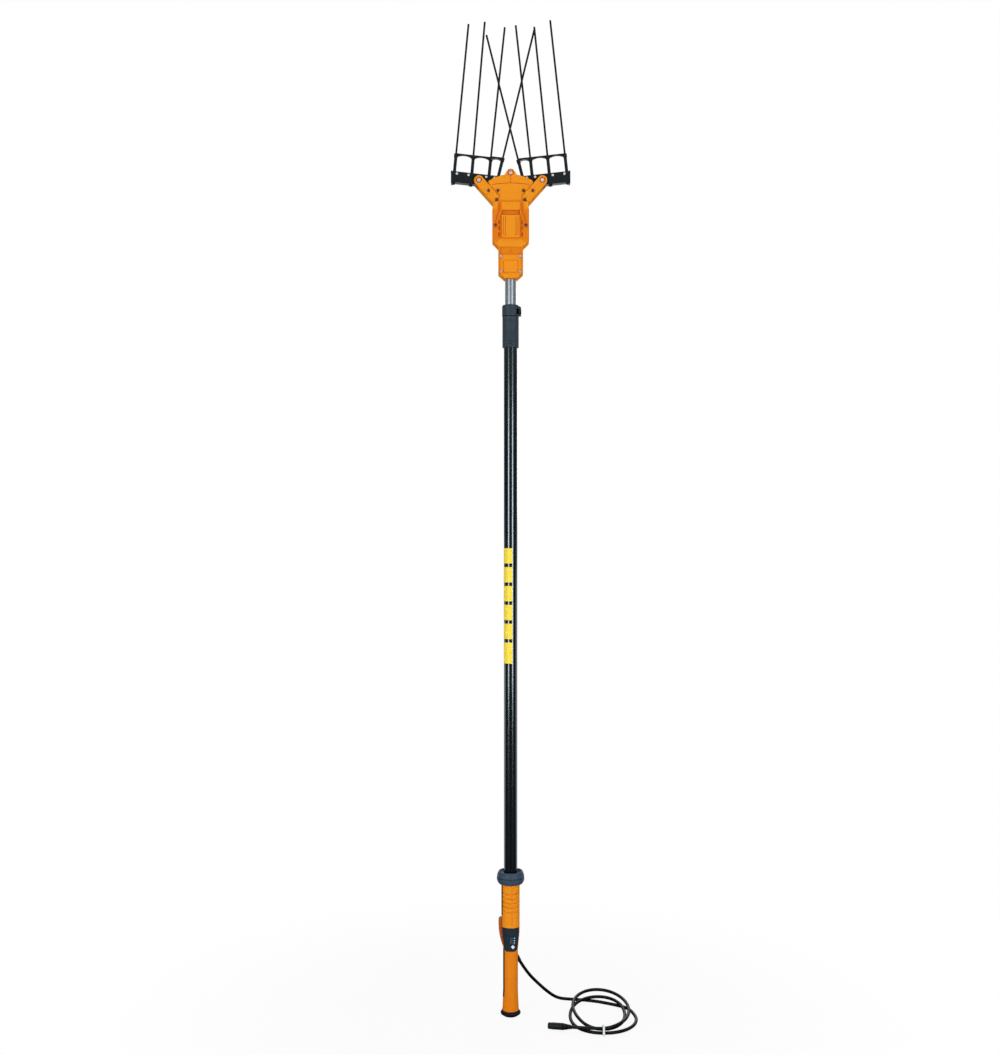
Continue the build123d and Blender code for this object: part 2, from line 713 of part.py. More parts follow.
# Trigger, its pin, and the butt cap
trigger_top_z = trigger_pivot_z + TRIGGER_LENGTH
trigger_inner_x = TRIGGER_PIVOT_X - TRIGGER_INNER
trigger_eye_radius = TRIGGER_EYE_DIAMETER / 2
with BuildPart() as trigger:
    with BuildSketch(Plane.XZ.offset(-TRIGGER_WIDTH / 2)):
        with BuildLine():
            ThreePointArc(
                (TRIGGER_PIVOT_X - trigger_eye_radius, trigger_pivot_z - trigger_eye_radius),
                (TRIGGER_PIVOT_X - TRIGGER_BELLY, trigger_pivot_z + TRIGGER_LENGTH / 2),
                (TRIGGER_PIVOT_X - TRIGGER_REACH, trigger_top_z - TRIGGER_TIP_DROP),
            )
            Polyline(
                (TRIGGER_PIVOT_X - TRIGGER_REACH, trigger_top_z - TRIGGER_TIP_DROP),
                (TRIGGER_PIVOT_X - TRIGGER_REACH + TRIGGER_TIP_INSET, trigger_top_z),
                (trigger_inner_x, trigger_top_z),
                (trigger_inner_x, trigger_pivot_z + trigger_eye_radius),
                (TRIGGER_PIVOT_X, trigger_pivot_z + trigger_eye_radius),
                (TRIGGER_PIVOT_X, trigger_pivot_z - trigger_eye_radius),
                (TRIGGER_PIVOT_X - trigger_eye_radius, trigger_pivot_z - trigger_eye_radius),
            )
        make_face()
        with Locations((TRIGGER_PIVOT_X, trigger_pivot_z)):
            Circle(trigger_eye_radius)
    extrude(amount=TRIGGER_WIDTH)
    fillet(trigger.edges().filter_by(GeomType.CIRCLE).sort_by(SortBy.LENGTH)[-2:], TRIGGER_WIDTH / 6)
    with BuildSketch(cross_plane(TRIGGER_PIVOT_X, -TRIGGER_WIDTH, trigger_pivot_z)):
        Circle(TRIGGER_PIN_DIAMETER / 2 + SLIDE_CLEARANCE)
    extrude(amount=2 * TRIGGER_WIDTH, mode=Mode.SUBTRACT)
keep(trigger.part, "trigger")

keep(
    cross_rod(
        TRIGGER_PIVOT_X,
        trigger_pivot_z,
        -TRIGGER_PIN_LENGTH / 2,
        TRIGGER_PIN_LENGTH / 2,
        TRIGGER_PIN_DIAMETER,
    ),
    "trigger_pin",
)

spigot_bore = SPIGOT_DIAMETER / 2 + HOLE_CLEARANCE
keep(
    turned(
        [
            (0, floor_z),
            (BUTT_FOOT_DIAMETER / 2, floor_z),
            (BUTT_CAP_DIAMETER / 2 - 1, floor_z + BUTT_CAP_HEIGHT * 0.32),
            (BUTT_CAP_DIAMETER / 2, floor_z + BUTT_CAP_HEIGHT * 0.45),
            (BUTT_CAP_DIAMETER / 2, floor_z + BUTT_CAP_HEIGHT * 0.6),
            (BUTT_FLARE_DIAMETER / 2 + 1, floor_z + BUTT_CAP_HEIGHT),
            (spigot_bore, floor_z + BUTT_CAP_HEIGHT),
            (spigot_bore, handle_foot_z),
            (0, handle_foot_z),
        ]
    ),
    "butt_cap",
)

# Hand guard, a thick disc with a dished top
guard_radius = GUARD_DIAMETER / 2
with BuildPart() as hand_guard:
    with BuildSketch(Plane.XZ):
        with BuildLine():
            Line((tube_bore / 2, guard_z), (guard_radius * 0.84, guard_z))
            ThreePointArc(
                (guard_radius * 0.84, guard_z),
                (guard_radius * 0.959, guard_z + GUARD_HEIGHT * 0.187),
                (guard_radius, guard_z + GUARD_HEIGHT * 0.4),
            )
            ThreePointArc(
                (guard_radius, guard_z + GUARD_HEIGHT * 0.4),
                (guard_radius * 0.9646, guard_z + GUARD_HEIGHT * 0.7066),
                (guard_radius * 0.86, guard_z + GUARD_HEIGHT),
            )
            ThreePointArc(
                (guard_radius * 0.86, guard_z + GUARD_HEIGHT),
                (guard_radius * 0.8, guard_z + GUARD_HEIGHT * 0.98),
                (guard_radius * 0.74, guard_z + GUARD_HEIGHT * 0.9),
            )
            Polyline(
                (guard_radius * 0.74, guard_z + GUARD_HEIGHT * 0.9),
                (guard_radius * 0.6, guard_z + GUARD_HEIGHT * 0.8),
                (tube_bore / 2, guard_z + GUARD_HEIGHT * 0.8),
                (tube_bore / 2, guard_z),
            )
        make_face()
        with Locations((guard_radius, guard_z + GUARD_HEIGHT / 2)):
            Circle(GUARD_GROOVE_RADIUS, mode=Mode.SUBTRACT)
    revolve(axis=Axis.Z)
keep(hand_guard.part, "hand_guard")

# Pole tubes, bushes and the cable inside them
inner_radius = INNER_TUBE_DIAMETER / 2
outer_bore = OUTER_TUBE_DIAMETER - 2 * OUTER_TUBE_WALL
keep(ring(OUTER_TUBE_DIAMETER, outer_bore, tube_foot_z, tube_top_z), "outer_tube")
keep(
    ring(INNER_TUBE_DIAMETER, INNER_TUBE_DIAMETER - 2 * INNER_TUBE_WALL, inner_tube_foot_z, inner_tube_top_z),
    "inner_tube",
)
guide_bore = INNER_TUBE_DIAMETER + 2 * SLIDE_CLEARANCE
bush_outside = outer_bore - 2 * SLIDE_CLEARANCE
keep(ring(bush_outside, guide_bore, tube_top_z - BUSH_LENGTH, tube_top_z), "guide_bush")
keep(
    ring(
        bush_outside,
        INNER_TUBE_DIAMETER + 2 * HOLE_CLEARANCE,
        inner_tube_foot_z,
        inner_tube_foot_z + BUSH_LENGTH,
    ),
    "slider_bush",
)
keep(
    ring(bush_outside, CABLE_DIAMETER + 2 * HOLE_CLEARANCE, tube_foot_z, tube_foot_z + GROMMET_LENGTH),
    "cable_grommet",
)
keep(disc(CABLE_DIAMETER, tube_foot_z - CABLE_TAIL, motor_z - MOTOR_CLEARANCE), "pole_cable")

# Clamp: sleeve with front ribs, split collar with ears, cam lever and its pin
sleeve_radius = SLEEVE_DIAMETER / 2
rib_low = sleeve_z + SLEEVE_RIB_HEIGHT
with BuildPart() as rib_rings:
    with BuildSketch(Plane.XZ):
        for step in range(SLEEVE_RIBS):
            with Locations((sleeve_radius, rib_low + step * SLEEVE_RIB_PITCH)):
                Rectangle(2 * SLEEVE_RIB_PROUD, SLEEVE_RIB_HEIGHT, align=(Align.CENTER, Align.MIN))
    revolve(axis=Axis.Z)
    rib_rims = rib_rings.edges().filter_by(GeomType.CIRCLE).filter_by(lambda rim: rim.radius > sleeve_radius)
    chamfer(rib_rims, SLEEVE_RIB_PROUD * 0.6)
rib_front = block(
    (-SLEEVE_RIB_WIDTH / 2, SLEEVE_RIB_WIDTH / 2),
    (-SLEEVE_DIAMETER, 0),
    (sleeve_z, sleeve_top_z),
)
with BuildPart() as clamp_sleeve:
    with BuildSketch(Plane.XZ):
        with BuildLine():
            Polyline(
                (tube_bore / 2, sleeve_z),
                (sleeve_radius, sleeve_z),
                (sleeve_radius, sleeve_top_z),
                (guide_bore / 2 + 0.4, sleeve_top_z),
                (guide_bore / 2 + 0.4, tube_top_z),
                (tube_bore / 2, tube_top_z),
                close=True,
            )
        make_face()
    revolve(axis=Axis.Z)
    sleeve_circles = clamp_sleeve.edges().filter_by(GeomType.CIRCLE)
    fillet(sleeve_circles.filter_by(lambda rim: rim.radius > sleeve_radius - 0.1), 1.2)
    add(rib_rings.part & rib_front)
keep(clamp_sleeve.part, "clamp_sleeve")

lever_z = collar_z + EAR_THICKNESS + 0.5
lever_top_z = lever_z + LEVER_HEIGHT
ear_top_z = lever_top_z + 0.5 + EAR_THICKNESS
pin_head_radius = LEVER_PIN_DIAMETER * 0.8
cam_well_x = LEVER_PIN_X - LEVER_HEAD_DIAMETER / 2 - 0.3
with BuildPart() as clamp_collar:
    add(ring(COLLAR_DIAMETER, guide_bore, collar_z, collar_top_z))
    fillet(clamp_collar.edges().group_by(Axis.Z)[-1].sort_by(SortBy.LENGTH)[-1:], COLLAR_ROUND)
    with BuildSketch(Plane.XY.offset(collar_z)):
        with Locations(((LEVER_PIN_X + inner_radius) / 2, 0)):
            Rectangle(LEVER_PIN_X - inner_radius, EAR_WIDTH)
        with Locations((LEVER_PIN_X, 0)):
            Circle(EAR_WIDTH / 2)
    extrude(amount=ear_top_z - collar_z)
    with BuildSketch(Plane.XY.offset(lever_z - 0.5)):
        with Locations((cam_well_x + COLLAR_DIAMETER / 2, 0)):
            Rectangle(COLLAR_DIAMETER, COLLAR_DIAMETER)
    extrude(amount=LEVER_HEIGHT + 1.0, mode=Mode.SUBTRACT)
    with BuildSketch(Plane.XY.offset(collar_z)):
        Circle(guide_bore / 2)
        with Locations((LEVER_PIN_X / 2, 0)):
            Rectangle(LEVER_PIN_X - LEVER_PIN_DIAMETER, COLLAR_SLIT)
        with Locations((LEVER_PIN_X, 0)):
            Circle(LEVER_PIN_DIAMETER / 2 + HOLE_CLEARANCE)
    extrude(amount=COLLAR_HEIGHT, mode=Mode.SUBTRACT)
    with BuildSketch(Plane.XY.offset(ear_top_z)):
        with Locations((LEVER_PIN_X, 0)):
            Circle(pin_head_radius + HOLE_CLEARANCE)
    extrude(amount=COLLAR_HEIGHT, mode=Mode.SUBTRACT)
keep(clamp_collar.part, "clamp_collar")

lever_inside = LEVER_ARM_INSIDE / 2
lever_outside = lever_inside + LEVER_ARM_THICKNESS
lever_middle = lever_inside + LEVER_ARM_THICKNESS / 2


def round_the_pole(radius, angle):
    """Point on a circle about the pole, angle counted from +X towards the back."""
    return (radius * cos(radians(angle)), radius * sin(radians(angle)))


with BuildPart() as clamp_lever:
    with BuildSketch(Plane.XY.offset(lever_z)):
        with BuildLine():
            ThreePointArc(
                round_the_pole(lever_outside, 0),
                round_the_pole(lever_outside, LEVER_ARM_SWEEP / 2),
                round_the_pole(lever_outside, LEVER_ARM_SWEEP),
            )
            Line(
                round_the_pole(lever_outside, LEVER_ARM_SWEEP),
                round_the_pole(lever_inside, LEVER_ARM_SWEEP),
            )
            ThreePointArc(
                round_the_pole(lever_inside, LEVER_ARM_SWEEP),
                round_the_pole(lever_inside, LEVER_ARM_SWEEP / 2),
                round_the_pole(lever_inside, 0),
            )
            Line(round_the_pole(lever_inside, 0), round_the_pole(lever_outside, 0))
        make_face()
        with Locations(round_the_pole(lever_middle, LEVER_ARM_SWEEP)):
            Circle(LEVER_ARM_THICKNESS / 2)
        with Locations((LEVER_PIN_X, 0)):
            Circle(LEVER_HEAD_DIAMETER / 2)
    extrude(amount=LEVER_HEIGHT)
    lever_faces = clamp_lever.faces().sort_by(Axis.Z)
    fillet(lever_faces[0].edges() + lever_faces[-1].edges(), LEVER_ROUND)
    with BuildSketch(Plane.XY.offset(lever_z)):
        with Locations((LEVER_PIN_X, 0)):
            Circle(LEVER_PIN_DIAMETER / 2 + SLIDE_CLEARANCE)
    extrude(amount=LEVER_HEIGHT, mode=Mode.SUBTRACT)
keep(clamp_lever.part, "clamp_lever")

with BuildPart() as lever_pin:
    with BuildSketch(Plane.XY.offset(collar_z)):
        with Locations((LEVER_PIN_X, 0)):
            Circle(LEVER_PIN_DIAMETER / 2)
    extrude(amount=ear_top_z - collar_z)
    with BuildSketch(Plane.XY.offset(ear_top_z)):
        with Locations((LEVER_PIN_X, 0)):
            Circle(pin_head_radius)
    extrude(amount=LEVER_PIN_DIAMETER / 2)
keep(lever_pin.part, "clamp_lever_pin")

# Drive head casing: a front and a rear half with the rakes between them
neck_half = NECK_WIDTH / 2
body_half = BODY_WIDTH / 2
waist_half = WAIST_WIDTH / 2
waist_z = shoulder_z + WAIST_RISE
arm_root_z = pivot_z - ARM_ROOT_DROP
crest_end_z = pivot_z - CREST_END_DROP
crest_centre_z = crest_end_z - (CREST_RADIUS**2 - CREST_HALF_CHORD**2) ** 0.5
crest_top_z = crest_centre_z + CREST_RADIUS
lug_z = pivot_z + LUG_RISE
casing_screw_places = mirrored_places(CASING_SCREW_PLACES, shoulder_z)
casing_screw_places += mirrored_places(NECK_BOLT_PLACES, neck_z)
tube_seat = INNER_TUBE_DIAMETER + 2 * HOLE_CLEARANCE
slot_half = RAKE_SLOT_WIDTH / 2
chamber_half = body_half - CASING_WALL
pocket_half = MECHANISM_POCKET_WIDTH / 2
chamber_z = motor_z - MOTOR_CLEARANCE


def arm_outline(side):
    """Straight strip of one arm, from the pivot down to its root."""
    run_x = side * (ARM_ROOT_X - pivot_x)
    run_z = -ARM_ROOT_DROP
    length = (run_x**2 + run_z**2) ** 0.5
    off_x = -run_z / length * ARM_WIDTH / 2
    off_z = run_x / length * ARM_WIDTH / 2
    return [
        (side * pivot_x + off_x, pivot_z + off_z),
        (side * ARM_ROOT_X + off_x, arm_root_z + off_z),
        (side * ARM_ROOT_X - off_x, arm_root_z - off_z),
        (side * pivot_x - off_x, pivot_z - off_z),
    ]


def arm_inner_edge(side):
    """The two ends of an arm's edge that faces the crest."""
    corners = arm_outline(side)
    return (corners[0], corners[1]) if side < 0 else (corners[3], corners[2])


def casing_body(facing):
    """Neck and body of one casing half; facing is 1 for the front and -1 for the rear."""
    with BuildPart() as form:
        with BuildSketch(Plane.XZ):
            with BuildLine():
                Polyline(
                    (-NECK_FOOT_WIDTH / 2, neck_z),
                    (NECK_FOOT_WIDTH / 2, neck_z),
                    (neck_half, neck_z + NECK_CHAMFER),
                    (neck_half, body_z),
                    (body_half, body_z + BODY_CHAMFER),
                    (body_half, shoulder_z),
                    (waist_half, waist_z),
                    (-waist_half, waist_z),
                    (-body_half, shoulder_z),
                    (-body_half, body_z + BODY_CHAMFER),
                    (-neck_half, body_z),
                    (-neck_half, neck_z + NECK_CHAMFER),
                    close=True,
                )
            make_face()
        extrude(amount=facing * BODY_DEPTH)
        fillet(form.faces().sort_by(Axis.Y)[0 if facing > 0 else -1].edges(), CASING_ROUND)
    return form.part


def casing_arms(facing):
    """Both pivot arms of one casing half."""
    with BuildPart() as form:
        for side in (-1, 1):
            with BuildSketch(Plane.XZ):
                with BuildLine():
                    Polyline(*arm_outline(side), close=True)
                make_face()
                with Locations((side * pivot_x, pivot_z)):
                    Circle(ARM_WIDTH / 2)
            extrude(amount=facing * ARM_DEPTH)
        for face in form.faces().filter_by(Axis.Y).group_by(Axis.Y)[0 if facing > 0 else -1]:
            fillet(face.edges(), CASING_ROUND)
    return form.part


def casing_crest(facing):
    """Arched crest with its bolt lug, between the arms of one casing half."""
    with BuildPart() as form:
        with BuildSketch(Plane.XZ):
            with BuildLine():
                Polyline(
                    (-CREST_HALF_CHORD, crest_end_z),
                    (-waist_half, waist_z),
                    (waist_half, waist_z),
                    (CREST_HALF_CHORD, crest_end_z),
                )
                ThreePointArc(
                    (CREST_HALF_CHORD, crest_end_z), (0, crest_top_z), (-CREST_HALF_CHORD, crest_end_z)
                )
            make_face()
            with BuildLine():
                Polyline(
                    (-LUG_BASE_WIDTH / 2, crest_top_z - LUG_DIAMETER / 4),
                    (LUG_BASE_WIDTH / 2, crest_top_z - LUG_DIAMETER / 4),
                    (LUG_DIAMETER * 0.4, lug_z + LUG_DIAMETER * 0.3),
                    (-LUG_DIAMETER * 0.4, lug_z + LUG_DIAMETER * 0.3),
                    close=True,
                )
            make_face()
            with Locations((0, lug_z)):
                Circle(LUG_DIAMETER / 2)
        extrude(amount=facing * CREST_DEPTH)
        fillet(form.faces().sort_by(Axis.Y)[0 if facing > 0 else -1].edges(), CASING_ROUND / 2)
    return form.part


def casing_hollow(facing):
    """Space inside one casing half for the motor, gears, yoke, tube and rakes."""
    deep = -facing * MECHANISM_POCKET_DEPTH
    chamber = slab(
        [
            (-chamber_half, chamber_z),
            (chamber_half, chamber_z),
            (chamber_half, shoulder_z),
            (waist_half - CASING_WALL, waist_z - CASING_WALL),
            (pocket_half, waist_z + CASING_WALL),
            (pocket_half, rake_slot_z + CASING_WALL),
            (-pocket_half, rake_slot_z + CASING_WALL),
            (-pocket_half, waist_z + CASING_WALL),
            (CASING_WALL - waist_half, waist_z - CASING_WALL),
            (-chamber_half, shoulder_z),
        ],
        0,
        deep,
    )
    rake_slot = block(
        (-2 * pivot_x, 2 * pivot_x), (0, -facing * slot_half), (rake_slot_z, lug_z + LUG_DIAMETER)
    )
    spaces = [
        chamber,
        rake_slot,
        disc(MOTOR_DIAMETER + 2 * MOTOR_CLEARANCE, chamber_z, shoulder_z),
        disc(tube_seat, neck_z, inner_tube_top_z),
        disc(CABLE_PASSAGE_DIAMETER, inner_tube_top_z, chamber_z),
    ]
    if facing < 0:
        yoke_well = block(
            (-pocket_half, pocket_half), (0, MECHANISM_POCKET_DEPTH), (rake_slot_z, lug_z + LUG_DIAMETER)
        )
        spaces.append(yoke_well)
    return spaces


def casing_half(facing):
    """One half of the casing with its hollow, screw bosses and bolt holes."""
    forms = [casing_body(facing), casing_arms(facing), casing_crest(facing)]
    spaces = casing_hollow(facing)
    bosses = [
        cross_rod(x, z, 0, -facing * BODY_DEPTH / 1.2, SCREW_BOSS_DIAMETER)
        for x, z, _ in casing_screw_places
        if chamber_z < z < shoulder_z
    ]
    screw_hole = SCREW_DIAMETER + 2 * HOLE_CLEARANCE
    pivot_hole = PIVOT_BOLT_DIAMETER + 2 * HOLE_CLEARANCE
    depth = -facing * 2 * BODY_DEPTH
    holes = [cross_rod(x, z, 0, depth, screw_hole) for x, z, _ in casing_screw_places]
    holes += [cross_rod(side * pivot_x, pivot_z, 0, depth, pivot_hole) for side in (-1, 1)]
    holes.append(cross_rod(0, lug_z, 0, depth, pivot_hole))
    with BuildPart() as half:
        for form in forms:
            add(form)
        for space in spaces:
            add(space, mode=Mode.SUBTRACT)
        for boss in bosses:
            add(boss)
        for hole in holes:
            add(hole, mode=Mode.SUBTRACT)
    return half.part


pivot_head_y = -ARM_DEPTH + PIVOT_RECESS_DEPTH
motor_cover_z = body_z + MOTOR_COVER_RISE
motor_cover_top_z = motor_cover_z + MOTOR_COVER_HEIGHT
motor_cover_half = MOTOR_COVER_WIDTH / 2
cooling_slot_z = motor_cover_top_z + 1.0
upper_pad_z = cooling_slot_z + COOLING_SLOT_HEIGHT
front_blank = casing_half(1)
rear_blank = casing_half(-1)
vent_width, vent_height = VENT_SIZE
vent_low_z = motor_cover_z + vent_height
vent_places = [
    (side * VENT_X, vent_low_z + step * VENT_PITCH) for side in (-1, 1) for step in range(VENT_COUNT)
]

with BuildPart() as head_front:
    add(front_blank)
    with BuildSketch(Plane.XZ.offset(BODY_DEPTH)):
        with Locations((0, upper_pad_z + UPPER_PAD_HEIGHT / 2)):
            Rectangle(MOTOR_COVER_WIDTH, UPPER_PAD_HEIGHT)
    extrude(amount=UPPER_PAD_DEPTH, taper=12)
    with BuildSketch(Plane.XZ.offset(BODY_DEPTH)):
        with Locations((0, cooling_slot_z + COOLING_SLOT_HEIGHT / 2)):
            Rectangle(MOTOR_COVER_WIDTH, COOLING_SLOT_HEIGHT)
    extrude(amount=-COOLING_SLOT_DEPTH, mode=Mode.SUBTRACT)
    with BuildSketch(Plane.XZ.offset(BODY_DEPTH)):
        for x, z in vent_places:
            with Locations((x, z)):
                Rectangle(vent_width, vent_height)
    extrude(amount=MECHANISM_POCKET_DEPTH - BODY_DEPTH, mode=Mode.SUBTRACT)
    with BuildSketch(Plane.XZ.offset(BODY_DEPTH)):
        for side in (-1, 1):
            with BuildLine():
                Polyline(
                    (side * VENT_X, waist_z - CASING_ROUND),
                    (side * VENT_X, shoulder_z),
                    (side * (body_half - PANEL_LINE_INSET), shoulder_z - BODY_LENGTH / 3),
                )
            trace(line_width=PANEL_LINE_WIDTH)
    extrude(amount=-PANEL_LINE_DEPTH, mode=Mode.SUBTRACT)
    with BuildSketch(Plane.XZ.offset(CREST_DEPTH)):
        with BuildLine():
            ThreePointArc(
                (-CREST_HALF_CHORD * 0.84, crest_end_z - ARM_WIDTH * 0.36),
                (0, crest_end_z - ARM_WIDTH * 0.2),
                (CREST_HALF_CHORD * 0.84, crest_end_z - ARM_WIDTH * 0.36),
            )
        trace(line_width=PANEL_LINE_WIDTH)
        with BuildLine():
            Line((0, crest_end_z - ARM_WIDTH * 0.2), (0, lug_z - LUG_DIAMETER / 2))
        trace(line_width=PANEL_LINE_WIDTH)
    extrude(amount=-PANEL_LINE_DEPTH, mode=Mode.SUBTRACT)
    with BuildSketch(Plane.XZ.offset(ARM_DEPTH)):
        for side in (-1, 1):
            with BuildLine():
                Line(*arm_inner_edge(side))
            trace(line_width=PANEL_LINE_WIDTH)
    extrude(amount=CREST_DEPTH - ARM_DEPTH - PANEL_LINE_DEPTH, mode=Mode.SUBTRACT)
    with BuildSketch(Plane.XZ.offset(ARM_DEPTH)):
        with Locations((-pivot_x, pivot_z), (pivot_x, pivot_z)):
            Circle(PIVOT_RECESS_DIAMETER / 2)
    extrude(amount=-PIVOT_RECESS_DEPTH, mode=Mode.SUBTRACT)
    with BuildSketch(Plane.XZ.offset(CREST_DEPTH)):
        with Locations((0, lug_z)):
            Circle(PIVOT_RECESS_DIAMETER / 2)
    extrude(amount=-PIVOT_RECESS_DEPTH, mode=Mode.SUBTRACT)
    with BuildSketch(Plane.XZ.offset(BODY_DEPTH)):
        with Locations((0, body_z - NECK_LENGTH * 0.13)):
            Rectangle(NECK_WIDTH * 0.84, NECK_LENGTH * 0.24)
    extrude(amount=-PANEL_LINE_DEPTH, mode=Mode.SUBTRACT)
    with BuildSketch(Plane.XZ.offset(BODY_DEPTH)):
        with Locations((0, body_z - NECK_LENGTH * 0.13)):
            Circle(NECK_HOLE_DIAMETER / 2)
    extrude(amount=-NECK_HOLE_DEPTH, mode=Mode.SUBTRACT)
keep(head_front.part, "head_front_cover")

with BuildPart() as head_rear:
    add(rear_blank)
    with BuildSketch(Plane.XZ.offset(-BODY_DEPTH)):
        with Locations((0, motor_cover_z + MOTOR_COVER_HEIGHT / 2)):
            with GridLocations(MOTOR_COVER_WIDTH, REAR_RIB_PITCH, 1, REAR_RIBS):
                Rectangle(MOTOR_COVER_WIDTH, REAR_RIB_WIDTH)
    extrude(amount=-REAR_RIB_HEIGHT)
    with BuildSketch(Plane.XZ.offset(-ARM_DEPTH)):
        for side in (-1, 1):
            with BuildLine():
                Line(*arm_inner_edge(side))
            trace(line_width=PANEL_LINE_WIDTH)
    extrude(amount=ARM_DEPTH - CREST_DEPTH + PANEL_LINE_DEPTH, mode=Mode.SUBTRACT)
keep(head_rear.part, "head_rear_cover")

# Motor cover and neck cover on the front half
motor_face = BODY_DEPTH + MOTOR_COVER_DEPTH
groove_places = (0.9, 0.66)
with BuildPart() as motor_cover:
    with BuildSketch(Plane.XZ.offset(BODY_DEPTH)):
        with Locations((0, motor_cover_z + MOTOR_COVER_HEIGHT / 2)):
            Rectangle(MOTOR_COVER_WIDTH, MOTOR_COVER_HEIGHT)
    extrude(amount=MOTOR_COVER_DEPTH, taper=15)
    with BuildSketch(Plane.XZ.offset(motor_face)):
        for share in groove_places:
            for side in (-1, 1):
                groove_x = side * share * (motor_cover_half - COVER_GROOVE_INSET)
                with BuildLine():
                    Polyline(
                        (groove_x, motor_cover_top_z - COVER_GROOVE_END),
                        (groove_x, motor_cover_z + 2 * COVER_GROOVE_END),
                        (groove_x * 0.82, motor_cover_z + COVER_GROOVE_END),
                    )
                trace(line_width=PANEL_LINE_WIDTH)
    extrude(amount=-PANEL_LINE_DEPTH, mode=Mode.SUBTRACT)
keep(motor_cover.part, "motor_cover")

neck_cover_width, neck_cover_height, neck_cover_depth = NECK_COVER_SIZE
with BuildPart() as neck_cover:
    with BuildSketch(Plane.XZ.offset(BODY_DEPTH)):
        with Locations((0, neck_z + NECK_CHAMFER + neck_cover_height / 2)):
            Rectangle(neck_cover_width - SCREW_HEAD_DIAMETER, neck_cover_height)
    extrude(amount=neck_cover_depth, taper=20)
keep(neck_cover.part, "neck_cover")

# Casing fasteners
screw_reach = 1.6 * BODY_DEPTH
casing_screws = [
    cap_screw(x, z, -depth, screw_reach, SCREW_DIAMETER, SCREW_HEAD_DIAMETER, SCREW_HEAD_HEIGHT)
    for x, z, depth in casing_screw_places
]
keep(group(casing_screws), "casing_screws")
pivot_reach = 2 * ARM_DEPTH + NUT_HEIGHT
keep(
    group(
        cap_screw(
            side * pivot_x,
            pivot_z,
            pivot_head_y,
            pivot_reach,
            PIVOT_BOLT_DIAMETER,
            PIVOT_HEAD_DIAMETER,
            PIVOT_HEAD_HEIGHT,
        )
        for side in (-1, 1)
    ),
    "pivot_bolts",
)
crest_reach = 2 * CREST_DEPTH + NUT_HEIGHT + 1
keep(
    cap_screw(
        0,
        lug_z,
        PIVOT_RECESS_DEPTH - CREST_DEPTH,
        crest_reach,
        PIVOT_BOLT_DIAMETER,
        PIVOT_HEAD_DIAMETER,
        PIVOT_HEAD_HEIGHT,
    ),
    "crest_bolt",
)


def hex_nut(x, z, face_y):
    """Plain hexagon nut seated on a rear face."""
    with BuildPart() as nut:
        with BuildSketch(cross_plane(x, face_y, z)):
            RegularPolygon(radius=NUT_ACROSS / 2, side_count=6, major_radius=False)
            Circle(PIVOT_BOLT_DIAMETER / 2 + HOLE_CLEARANCE, mode=Mode.SUBTRACT)
        extrude(amount=NUT_HEIGHT)
    return nut.part


pivot_nuts = [hex_nut(side * pivot_x, pivot_z, ARM_DEPTH) for side in (-1, 1)]
keep(group([*pivot_nuts, hex_nut(0, lug_z, CREST_DEPTH)]), "casing_nuts")
with BuildPart() as crest_spacer:
    with BuildSketch(cross_plane(0, -slot_half, lug_z)):
        Circle(LUG_DIAMETER * 0.3)
        Circle(PIVOT_BOLT_DIAMETER / 2 + HOLE_CLEARANCE, mode=Mode.SUBTRACT)
    extrude(amount=RAKE_SLOT_WIDTH)
keep(crest_spacer.part, "crest_spacer")

# Motor, gear head and gearbox frame
gearhead_z = motor_z + MOTOR_CAP_LENGTH + MOTOR_LENGTH
frame_z = gearhead_z + GEARHEAD_LENGTH
frame_top_z = frame_z + FRAME_THICKNESS
motor_radius = MOTOR_DIAMETER / 2
motor_cap_radius = motor_radius * 0.8
keep(
    turned(
        [
            (0, motor_z),
            (motor_cap_radius, motor_z),
            (motor_cap_radius, motor_z + MOTOR_CAP_LENGTH),
            (motor_radius, motor_z + MOTOR_CAP_LENGTH),
            (motor_radius, gearhead_z),
            (0, gearhead_z),
        ]
    ),
    "motor",
)
shaft_bore = OUTPUT_SHAFT_DIAMETER + 2 * HOLE_CLEARANCE
with BuildPart() as gear_head:
    add(disc(GEARHEAD_DIAMETER, gearhead_z, frame_z))
    add(disc(shaft_bore, frame_z - OUTPUT_SHAFT_SEAT, frame_z), mode=Mode.SUBTRACT)
keep(gear_head.part, "gear_head")

frame_half = FRAME_WIDTH / 2
frame_front_y = -MECHANISM_POCKET_DEPTH
frame_back_y = frame_front_y + FRAME_THICKNESS
plate_half = waist_half - CASING_WALL
bearing_hole = cross_rod(
    0, crank_z, frame_front_y, frame_back_y, CRANK_BEARING_DIAMETER + 2 * HOLE_CLEARANCE
)
with BuildPart() as gearbox_frame:
    add(
        block(
            (-plate_half, plate_half),
            (frame_front_y, MECHANISM_POCKET_DEPTH),
            (frame_z, frame_top_z),
        )
    )
    add(block((-frame_half, frame_half), (frame_front_y, frame_back_y), (frame_top_z, rake_slot_z)))
    add(disc(shaft_bore, frame_z, frame_top_z), mode=Mode.SUBTRACT)
    add(bearing_hole, mode=Mode.SUBTRACT)
keep(gearbox_frame.part, "gearbox_frame")

crank_bore = CRANK_SHAFT_DIAMETER + 2 * HOLE_CLEARANCE
with BuildPart() as crank_bearing:
    add(cross_rod(0, crank_z, frame_front_y, frame_back_y, CRANK_BEARING_DIAMETER))
    add(cross_rod(0, crank_z, frame_front_y, frame_back_y, crank_bore), mode=Mode.SUBTRACT)
keep(crank_bearing.part, "crank_bearing")

# Bevel gears, with the tips of both cones on the crank axis
gear_radius = GEAR_MODULE * GEAR_TEETH / 2
pinion_radius = GEAR_MODULE * PINION_TEETH / 2


